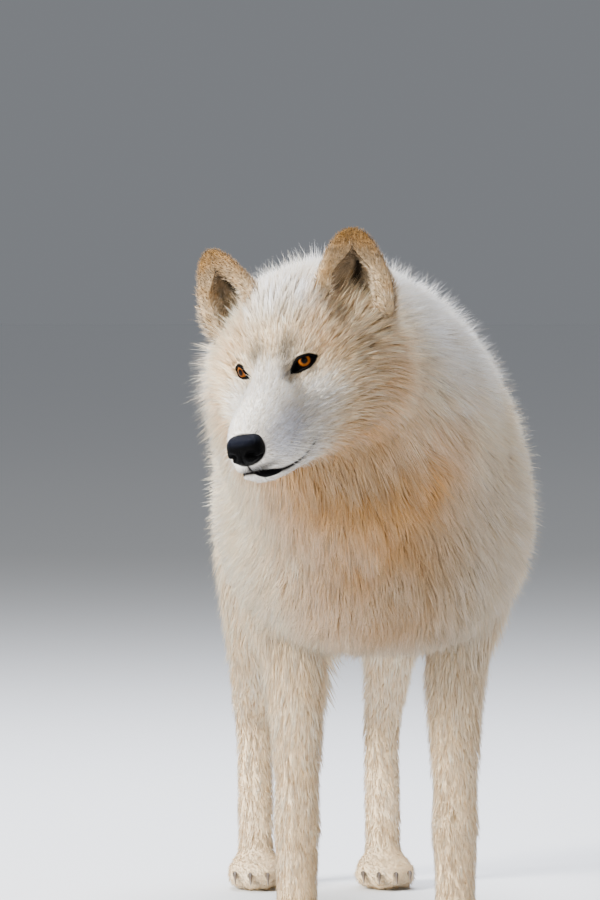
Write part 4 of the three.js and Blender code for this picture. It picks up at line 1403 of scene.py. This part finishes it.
def build_nose(rings=100, around=120):
    """The nose leather: an ellipsoid squared off, with a comma of a nostril on each side, the swelling
    round it and the groove between the two."""
    angle = math.pi * (0.004 + 0.992 * np.linspace(0, 1, rings))
    turn = round_turn(around)
    c, s = np.cos(turn), np.sin(turn)
    wide = np.sign(c) * np.abs(c) ** 0.66
    tall = np.sign(s) * np.abs(s) ** np.where(s > 0, 0.6, 0.85)
    deep = np.sin(angle) ** 0.62
    grid = np.stack([deep[:, None] * wide * NOSE_RADII[0],
                     np.repeat(-np.cos(angle)[:, None] * NOSE_RADII[1], around, 1),
                     deep[:, None] * tall * NOSE_RADII[2]], -1)
    points, quads, triangles = outward(*capped(grid))
    out = unit(points / NOSE_RADII**2)
    x, z, front = np.abs(points[:, 0]), points[:, 2], smoothstep(2, -6, points[:, 1])
    low = smoothstep(0, -14, z)
    nostril = np.exp(-(((x - 10.5) / 4.4) ** 2 + ((z + 2.5) / 3.6) ** 2) ** 1.4)
    slit = np.exp(-(((x - 15.5) / 5.5) ** 2 + ((z + 6.2 + 0.3 * (x - 15.5)) / 1.6) ** 2) ** 1.2)
    groove = bell(points[:, 0], 0, 1.1) * smoothstep(8, 0, z) * (0.5 + 0.5 * low)
    wing = bell(np.hypot(x - 10.5, z + 2.5), 6.6, 2.2)
    narrow = 1.02 - 0.4 * smoothstep(-2, -20, z)
    relief = front * (0.8 * wing - 4.5 * nostril - 2.4 * slit - 1.3 * groove)
    points = points * np.column_stack([narrow, np.ones((len(points), 2))]) + out * relief[:, None]
    made = new_mesh("nose_leather", placed(on_head(points + NOSE_CENTRE)), quads, triangles)
    # How deep the painted shade in the nostrils is.
    set_attribute(made.data, "hollow", np.clip(front * (nostril + 0.8 * slit), 0, 1))
    # Where the top plane of the nose takes a painted reflection of the sky.
    set_attribute(made.data, "top", smoothstep(0.35, 0.75, out[:, 2]))
    return made


def build_claw(limb, toe, rings=22, around=18):
    """A claw: ovals along an arc that runs 16 t mm forward and drops 12 t^2 mm, 3.1 mm to each side, 4 mm
    up and 3.8 mm down, times (1 - t)^0.62 + 0.08; all of it is scaled with the paw."""
    name, sign, _, x, y, scale = limb
    toe_x, toe_y, _, long = TOES[toe]
    t = np.linspace(0, 1, rings)
    start = np.array([x + sign * toe_x * 1.06 * scale, y + (toe_y - long + 9) * scale, 22 * scale])
    line = start + np.stack([0 * t, -16 * scale * t, -12 * scale * t * t], -1)
    side = upright(rings)[0]
    up = unit(np.cross(np.gradient(line, axis=0), side)) * -1
    half, rise, drop = (size * scale * ((1 - t) ** 0.62 + 0.08) for size in (3.1, 4.0, 3.8))
    points, quads, triangles = outward(*capped(tube(line, side, up, half, rise, drop, 2, 2, around)))
    made = new_mesh(f"horn_{name}_{toe}", placed(on_floor(points)), quads, triangles)
    set_attribute(made.data, "along", np.concatenate([np.repeat(t, around), [0, 1]]))
    return made


def build_whiskers(rows=4, in_row=9):
    """Long stiff hairs, bent back and down, in rows on both whisker pads, every other row half a step on."""
    random = np.random.RandomState(SEED)
    count = 2 * rows * in_row
    number = np.arange(count)
    row, place = np.divmod(number % (rows * in_row), in_row)
    place = place + 0.5 * (row % 2)
    sign = np.where(number < rows * in_row, 1, -1)
    y = -104 + 6.2 * place
    z = -52 - 5.5 * row + 0.06 * (y + 80)
    under = HEAD(y)
    half, level = under[:, 2], under[:, 3]
    x = half * np.sqrt(np.clip(1 - ((z - level) / 38) ** 2, 0.1, 1)) - 2
    roots = np.column_stack([sign * x, y, z])
    long = 22 + 3.4 * place + random.uniform(-6, 6, count)
    aim = unit(np.column_stack([sign * (1.0 - 0.05 * place), 0.25 + 0.09 * place, -0.25 - 0.12 * row])
               + random.normal(0, 0.1, (count, 3)))
    tips = roots + aim * long[:, None] + np.column_stack([0 * long, 0.22 * long, -0.2 * long])
    controls = roots + aim * long[:, None] * 0.5
    roots, controls, tips = on_head(roots), on_head(controls), on_head(tips)
    normals = unit(np.cross(tips - roots, [0.3, 0.2, 1.0]))
    breadth = np.full(count, 0.42)
    made = blade_mesh("whiskers", roots, controls, tips, normals, breadth, WHISKER_FLATNESS, 2, random)
    unwrap = np.column_stack([(number % in_row + 0.5) / in_row, (number // in_row + 0.5) / (2 * rows)])
    bake_map(made.data, unwrap, np.zeros(count), WHISKER_RINGS)
    set_marking(made.data, np.tile(linear("E6E2DC"), (len(made.data.vertices), 1)))
    return made


# ---------------------------------------------------------------- materials


def socket(sockets, name):
    """The socket of that name that is in use."""
    return next(s for s in sockets if s.name == name and s.enabled)


def node(tree, kind, settings=None, values=None, links=None):
    """Adds a node with its settings, the values of its inputs and the (node, output) linked into them."""
    made = tree.nodes.new(kind)
    for name, value in (settings or {}).items():
        setattr(made, name, value)
    for name, value in (values or {}).items():
        socket(made.inputs, name).default_value = value
    for name, (source, output) in (links or {}).items():
        tree.links.new(socket(source.outputs, output), socket(made.inputs, name))
    return made


def started(name, **values):
    """A material with one Principled shader whose sockets are set; returned with its tree and shader."""
    material = bpy.data.materials.new(name)
    material.use_nodes = True
    tree = material.node_tree
    tree.nodes.clear()
    values = {name.replace("_", " "): value for name, value in values.items()}
    shader = node(tree, "ShaderNodeBsdfPrincipled", values=values)
    output = node(tree, "ShaderNodeOutputMaterial", links={"Surface": (shader, "BSDF")})
    return material, tree, shader, output


# In the helpers below a source is a pair (node, name of its output).


def attribute(tree, name, output):
    """The source that reads a named attribute of the mesh."""
    return node(tree, "ShaderNodeAttribute", {"attribute_name": name}), output


def object_place(tree):
    """The source of the place on the object, in metres."""
    return node(tree, "ShaderNodeTexCoord"), "Object"


def grained(tree, place, scale, stretch=None, **values):
    """Noise over a place, which may first be stretched along its axes."""
    if stretch:
        place = node(tree, "ShaderNodeMapping", values={"Scale": stretch}, links={"Vector": place}), "Vector"
    return node(tree, "ShaderNodeTexNoise", values={"Scale": scale, **values}, links={"Vector": place}), "Fac"


def ranged(tree, source, low, high, dark=0.0, bright=1.0, kind="LINEAR"):
    """A source's range from low to high brought to the range from dark to bright."""
    values = {"From Min": low, "From Max": high, "To Min": dark, "To Max": bright}
    return node(tree, "ShaderNodeMapRange", {"interpolation_type": kind}, values, {"Value": source}), "Result"


def ramped(tree, source, stops):
    """The colours of a ramp through stops of (place, sRGB hex colour)."""
    made = node(tree, "ShaderNodeValToRGB", links={"Fac": source})
    ramp = made.color_ramp
    for place, _ in stops[2:]:
        ramp.elements.new(place)
    for element, (place, colour) in zip(ramp.elements, stops):
        element.position = place
        element.color = (*linear(colour), 1)
    return made, "Color"


def between(tree, share, colour, other):
    """A colour moved towards another by a share; each of the two is a source or a fixed colour."""
    pair = {"A": colour, "B": other}
    linked = {name: value for name, value in pair.items() if isinstance(value[1], str)}
    fixed = {name: value for name, value in pair.items() if name not in linked}
    return node(tree, "ShaderNodeMix", {"data_type": "RGBA"}, fixed, {"Factor": share, **linked}), "Result"


def dimmed(tree, colour, dim):
    """A colour multiplied by a brightness."""
    settings = {"data_type": "RGBA", "blend_type": "MULTIPLY"}
    return node(tree, "ShaderNodeMix", settings, {"Factor": 1.0}, {"A": colour, "B": dim}), "Result"


def coloured(tree, shader, colour):
    """Gives a shader its base colour."""
    tree.links.new(socket(colour[0].outputs, colour[1]), shader.inputs["Base Color"])


def bumped(tree, shader, height, strength, distance):
    """Gives a shader bumps of a height, in metres."""
    bump = node(tree, "ShaderNodeBump", values={"Strength": strength, "Distance": distance},
                links={"Height": height})
    tree.links.new(bump.outputs["Normal"], shader.inputs["Normal"])


def hide_fur():
    """Short underfur combed flat on hide: matt, cream, in fine streaks 1.5 mm wide along the lie."""
    material, tree, shader, _ = started("underfur", Roughness=0.9, Specular_IOR_Level=0.04)
    streaks = grained(tree, attribute(tree, "streak", "Vector"), 1.0, (0.7, 0.09, 1.0), Detail=4.0,
                      Roughness=0.6)
    dim = ranged(tree, streaks, 0.3, 0.7, 0.8, 1.05)
    coloured(tree, shader, dimmed(tree, attribute(tree, "marking", "Color"), dim))
    bumped(tree, shader, streaks, 0.7, 0.001)
    return material


def guard_hair():
    """Unpigmented guard hair: light passes through and along each hair, so the coat glows softly and has
    no hard shadows; the sheen gives the pale edge against the light."""
    material, tree, shader, output = started("guard hair", Roughness=0.6, Sheen_Weight=0.08,
                                             Sheen_Roughness=0.4, Specular_IOR_Level=0.2)
    colour = attribute(tree, "marking", "Color")
    passed_on = node(tree, "ShaderNodeBsdfTranslucent", links={"Color": colour})
    both = node(tree, "ShaderNodeMixShader", values={"Fac": 0.2})
    coloured(tree, shader, colour)
    tree.links.new(shader.outputs["BSDF"], both.inputs[1])
    tree.links.new(passed_on.outputs["BSDF"], both.inputs[2])
    tree.links.new(both.outputs["Shader"], output.inputs["Surface"])
    return material


def wet_rim():
    """Bare black skin of the lids and lips, kept wet: near black, with the grain of fine skin."""
    material, tree, shader, _ = started("wet black skin", Roughness=0.5, Specular_IOR_Level=0.03)
    grain = grained(tree, object_place(tree), 900.0, Detail=3.0)
    coloured(tree, shader, ramped(tree, grain, [(0.0, "020202"), (1.0, "080607")]))
    bumped(tree, shader, grain, 0.3, 0.0003)
    return material


def nose_leather():
    """Nose leather: black moist skin in pebbles about 1 mm across, darker in the grooves between them, with
    painted shade in the nostrils and a painted bluish reflection of the sky on top."""
    material, tree, shader, _ = started("nose leather", Roughness=0.4, Specular_IOR_Level=0.03)
    pebbles = node(tree, "ShaderNodeTexVoronoi", {"feature": "DISTANCE_TO_EDGE"}, {"Scale": 850.0},
                   {"Vector": object_place(tree)})
    height = ranged(tree, (pebbles, "Distance"), 0.0, 0.22, kind="SMOOTHSTEP")
    tone = ramped(tree, height, [(0.0, "010101"), (1.0, "040405")])
    # Painted reflection: the top plane bluer, as if it mirrored the sky.
    painted_sky_reflection = between(tree, attribute(tree, "top", "Fac"), tone, (*linear("0D101B"), 1))
    # Painted shade: near black in the nostrils.
    deep = between(tree, attribute(tree, "hollow", "Fac"), painted_sky_reflection, (0.0005, 0.0005, 0.0005, 1))
    coloured(tree, shader, deep)
    bumped(tree, shader, height, 0.8, 0.0005)
    return material


IRIS_STOPS = [(0.0, "010101"), (0.30, "010101"), (0.35, "341903"), (0.42, "6E3A0A"), (0.56, "84480F"),
              (0.66, "542605"), (0.72, "0C0503"), (0.8, "030202"), (1.0, "0C0A0A")]


def living_eye():
    """A wet eye: amber iris of fine spokes, 14 mm across, a pupil of 6 mm and a dark ring round both, by the
    distance from the axis in cm, under a clear wet coat that gives one sharp glint."""
    material, tree, shader, _ = started("wet eye", Roughness=0.35, Coat_Weight=0.06, Coat_Roughness=0.03,
                                        Specular_IOR_Level=0.03)
    iris = attribute(tree, "iris", "Vector")
    parts = node(tree, "ShaderNodeSeparateXYZ", links={"Vector": iris})
    spokes = grained(tree, iris, 2.0, (0.18, 3.0, 3.0), Detail=5.0, Roughness=0.65)
    bands = ramped(tree, ranged(tree, (parts, "X"), 0.0, 10.0), IRIS_STOPS)
    coloured(tree, shader, dimmed(tree, bands, ranged(tree, spokes, 0.3, 0.7, 0.55, 1.3)))
    return material


def claw_horn():
    """Horn: grey-brown keratin in fine layers along the claw, worn paler at the point."""
    material, tree, shader, _ = started("claw horn", Roughness=0.4)
    layers = grained(tree, object_place(tree), 1.0, (1500.0, 120.0, 1500.0), Detail=3.0)
    tone = ramped(tree, attribute(tree, "along", "Fac"), [(0.0, "3A312B"), (1.0, "77685A")])
    coloured(tree, shader, dimmed(tree, tone, ranged(tree, layers, 0.0, 1.0, 0.6, 1.3)))
    bumped(tree, shader, layers, 0.3, 0.0003)
    return material


def painted_floor(looks):
    """Matt floor paint, rolled on: pale grey with a faint grain 4 mm wide, whiter from 2 to 14 m out."""
    material, tree, shader, _ = started("matt floor paint", Roughness=0.9, Specular_IOR_Level=0.2)
    place = object_place(tree)
    away = node(tree, "ShaderNodeVectorMath", {"operation": "LENGTH"}, links={"Vector": place})
    far = ranged(tree, (away, "Value"), 2.0, 14.0, kind="SMOOTHSTEP")
    near = between(tree, grained(tree, place, 250.0, Detail=2.0),
                   (*(0.97 * c for c in looks.floor_colour), 1), (*looks.floor_colour, 1))
    coloured(tree, shader, between(tree, far, near, (0.97, 0.97, 0.97, 1)))
    return material


def material_named(make, name):
    """The material of that name, made on first use."""
    return bpy.data.materials.get(name) or make()


# ---------------------------------------------------------------- stage

CAMERA_BACK, CAMERA_RIGHT, CAMERA_DOWN = 8000.0, 27.5, 88.7  # mm from the point between the pupils
CAMERA_TURN, CAMERA_DIP = math.radians(-3), math.radians(2)
LENS, SENSOR = 294.4, 36  # mm
# Soft boxes: name, place and target in metres, size in metres, power in watts, colour.
LIGHTS = [
    ("key soft box", (-4.2, -2.5, 3.0), (0, -0.2, 0.5), 1.8, 1060, "FFFDF6"),
    ("overhead soft box", (0.0, 2.0, 4.0), (0, 0, 0.5), 2.6, 560, "F4F7FF"),
    ("fill soft box", (1.8, -5.5, 1.0), (0, -0.3, 0.5), 2.4, 100, "FFF0DC"),
]
SKY_COLOUR, SKY_STRENGTH = "DDE2EA", 0.28


def frame_of(right, up, behind, place):
    """The matrix of an object that looks away from behind."""
    return Matrix(np.vstack([np.column_stack([right, up, behind, place]), [0, 0, 0, 1]]).tolist())


def add_camera():
    """A long lens 8 m from the eyes, turned 3 degrees and looking 2 degrees down."""
    a, e = CAMERA_TURN, CAMERA_DIP
    right = np.array([math.cos(a), math.sin(a), 0])
    behind = np.array([math.sin(a) * math.cos(e), -math.cos(a) * math.cos(e), math.sin(e)])
    up = np.cross(behind, right)
    place = EYE_MID + behind * CAMERA_BACK + right * CAMERA_RIGHT - up * CAMERA_DOWN
    data = bpy.data.cameras.new("camera")
    data.lens, data.sensor_width, data.sensor_fit = LENS, SENSOR, "AUTO"
    data.clip_end = 100
    camera = shown("camera", data)
    camera.matrix_world = frame_of(right, up, behind, placed(place))
    bpy.context.scene.camera = camera


def add_light(name, place, target, size, power, colour):
    """A square soft box at a place, facing a target, both in metres."""
    data = bpy.data.lights.new(name, "AREA")
    data.shape, data.size, data.energy, data.color = "SQUARE", size, power, linear(colour)
    light = shown(name, data)
    aim = unit(np.array(target) - np.array(place))
    side = unit(np.cross(aim, [0, 0, 1.0]))
    up = np.cross(side, aim)
    light.matrix_world = frame_of(side, up, -aim, place)


def build_floor(radii=(0.02, 1.0, 5.0, 15.0, 40.0), around=64):
    """A flat disc of floor, 40 m in radius."""
    turn, count = round_turn(around), len(radii)
    radius = np.reshape(radii, (-1, 1))
    grid = np.stack([radius * np.cos(turn), radius * np.sin(turn), np.zeros((count, around))], -1)
    points = np.concatenate([grid.reshape(-1, 3), [[0, 0, 0]]])
    j = np.arange(around)
    middle = np.stack([np.full(around, count * around), j, (j + 1) % around], -1)
    return new_mesh("floor", points, grid_faces(count, around)[:, ::-1], middle, smooth=False)


# ---------------------------------------------------------------- the add-on


def colour_setting(name, description, shade):
    """A colour that the sidebar shows, starting from an sRGB hex colour."""
    return bpy.props.FloatVectorProperty(name=name, description=description, default=linear(shade),
                                         subtype="COLOR")


class WOLF_Looks(bpy.types.PropertyGroup):
    """Sizes and colours of the coat and the room."""

    skin_cell: bpy.props.FloatProperty(name="Skin cell", description="Mesh size of the skin under the coat",
                                       default=0.007, min=0.003, max=0.01, unit="LENGTH")
    crowd: bpy.props.FloatProperty(name="Crowd", description="Tufts on each area, against the full number",
                                   default=1.0, min=0.05, max=1.2, subtype="FACTOR")
    # White also paints light over the hollow under the eyes.
    white: colour_setting("White", "Crown, back, muzzle and under the eyes", "FAF6F0")
    # Cool white: painted bluish shade on the sides of the muzzle.
    cool_shade: colour_setting("Cool white", "Sides of the muzzle", "E2E6F4")
    cream: colour_setting("Cream", "Most of the coat", "F4DCB6")
    gold: colour_setting("Gold", "Ruff, chest and between the legs", "DA9C46")
    # Grey also paints shade round the lids' bare band and along the mouth's groove.
    grey: colour_setting("Grey", "Inner corners of the eyes", "4E453F")
    ear_tan: colour_setting("Ear tan", "Tips of the ears", "7A5A2E")
    ear_grey: colour_setting("Ear grey", "Inside of the ears", "726250")
    # Black also paints the shade under the nose and in the ears' slits and canals.
    black: colour_setting("Black", "Lips, lids and the ears' slits", "040304")
    floor_colour: colour_setting("Floor", "Paint of the floor", "DADCE0")


def finished(piece, material, slot, *nodes):
    """Gives a piece its material, rides it on the body, and lets it stand for its CAD nodes."""
    piece.data.materials.clear()
    piece.data.materials.append(material)
    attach(piece, "root")
    if nodes:
        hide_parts(*nodes)
    return piece


FLESH = [*(f"{part}_{name}" for name in ("left", "right") for part in ("ear", "foreleg", "forepaw",
         "hindleg", "hindpaw")), "head", "neck", "trunk", "tail"]


class WOLF_OT_skin(bpy.types.Operator):
    """One seamless skin, inside the solids by the coat's depth, with its lids, lips and folds."""

    bl_idname = "wolf.skin"
    bl_label = "Skin"

    def execute(self, context):
        skin = build_skin(context.scene.wolf_looks)
        finished(skin, material_named(hide_fur, "underfur"), "cream_fur", *FLESH)
        return {"FINISHED"}


class WOLF_OT_lids(bpy.types.Operator):
    """The dark wet rims of the eyelids."""

    bl_idname = "wolf.lids"
    bl_label = "Lids"

    def execute(self, context):
        finished(build_lids(), material_named(wet_rim, "wet black skin"), "nose_leather")
        return {"FINISHED"}


class WOLF_OT_coat(bpy.types.Operator):
    """The winter coat of one zone of the skin, in mesh tufts."""

    bl_idname = "wolf.coat"
    bl_label = "Coat"

    zone: bpy.props.EnumProperty(name="Zone", description="Part of the body that the coat covers",
                                 items=[(zone, zone.replace("_", " "), "") for zone in ZONES])

    def execute(self, context):
        skin = bpy.data.objects.get("skin")
        if skin is None:
            raise RuntimeError("the coat needs the skin first")
        coat = grow_coat(skin, self.zone, context.scene.wolf_looks)
        slot = {"face": "pale_fur", "paws": "pale_fur", "ears": "ear_fur"}.get(self.zone, "cream_fur")
        finished(coat, material_named(guard_hair, "guard hair"), slot)
        return {"FINISHED"}


class WOLF_OT_eyes(bpy.types.Operator):
    """Both eyeballs, with amber irises."""

    bl_idname = "wolf.eyes"
    bl_label = "Eyes"

    def execute(self, context):
        for side in ("left", "right"):
            finished(build_eye(side), material_named(living_eye, "wet eye"), "eye", f"eye_{side}")
        return {"FINISHED"}


class WOLF_OT_nose(bpy.types.Operator):
    """The bare leather of the nose."""

    bl_idname = "wolf.nose"
    bl_label = "Nose"

    def execute(self, context):
        finished(build_nose(), material_named(nose_leather, "nose leather"), "nose_leather", "nose")
        return {"FINISHED"}


class WOLF_OT_claws(bpy.types.Operator):
    """The sixteen claws."""

    bl_idname = "wolf.claws"
    bl_label = "Claws"

    def execute(self, context):
        for limb in LIMBS:
            for toe in TOES:
                finished(build_claw(limb, toe), material_named(claw_horn, "claw horn"), "claw",
                         f"claw_{limb[0]}_{toe}")
        return {"FINISHED"}


class WOLF_OT_whiskers(bpy.types.Operator):
    """The long stiff hairs of the muzzle."""

    bl_idname = "wolf.whiskers"
    bl_label = "Whiskers"

    def execute(self, context):
        finished(build_whiskers(), material_named(guard_hair, "guard hair"), "pale_fur")
        return {"FINISHED"}


class WOLF_OT_stage(bpy.types.Operator):
    """The floor, the soft lights and the camera."""

    bl_idname = "wolf.stage"
    bl_label = "Stage"

    def execute(self, context):
        floor = build_floor()
        floor.data.materials.append(painted_floor(context.scene.wolf_looks))
        for light in LIGHTS:
            add_light(*light)
        world = context.scene.world or bpy.data.worlds.new("room")
        context.scene.world = world
        world.use_nodes = True
        sky = world.node_tree.nodes["Background"].inputs
        sky["Color"].default_value = (*linear(SKY_COLOUR), 1)
        sky["Strength"].default_value = SKY_STRENGTH
        add_camera()
        return {"FINISHED"}


class WOLF_PT_panel(bpy.types.Panel):
    """Lists the wolf's sizes, colours and steps in the sidebar."""

    bl_label = "Arctic wolf"
    bl_idname = "WOLF_PT_panel"
    bl_space_type = "VIEW_3D"
    bl_region_type = "UI"
    bl_category = "Wolf"

    def draw(self, context):
        looks = context.scene.wolf_looks
        for name in WOLF_Looks.__annotations__:
            self.layout.prop(looks, name)
        for step in STEPS:
            self.layout.operator(step.bl_idname)


STEPS = [WOLF_OT_stage, WOLF_OT_skin, WOLF_OT_lids, WOLF_OT_eyes, WOLF_OT_nose, WOLF_OT_claws,
         WOLF_OT_whiskers, WOLF_OT_coat]
CLASSES = [WOLF_Looks, *STEPS, WOLF_PT_panel]


def register():
    """Registers the classes and the wolf's settings on the scene."""
    for cls in CLASSES:
        bpy.utils.register_class(cls)
    bpy.types.Scene.wolf_looks = bpy.props.PointerProperty(type=WOLF_Looks)


def unregister():
    """Takes the settings and the classes away again."""
    del bpy.types.Scene.wolf_looks
    for cls in reversed(CLASSES):
        bpy.utils.unregister_class(cls)


def main():
    """Builds the wolf step by step."""
    register()
    bpy.ops.wolf.stage()
    bpy.ops.wolf.skin()
    bpy.ops.wolf.lids()
    bpy.ops.wolf.eyes()
    bpy.ops.wolf.nose()
    bpy.ops.wolf.claws()
    bpy.ops.wolf.whiskers()
    for zone in ZONES:
        bpy.ops.wolf.coat(zone=zone)


if __name__ == "__main__":
    main()
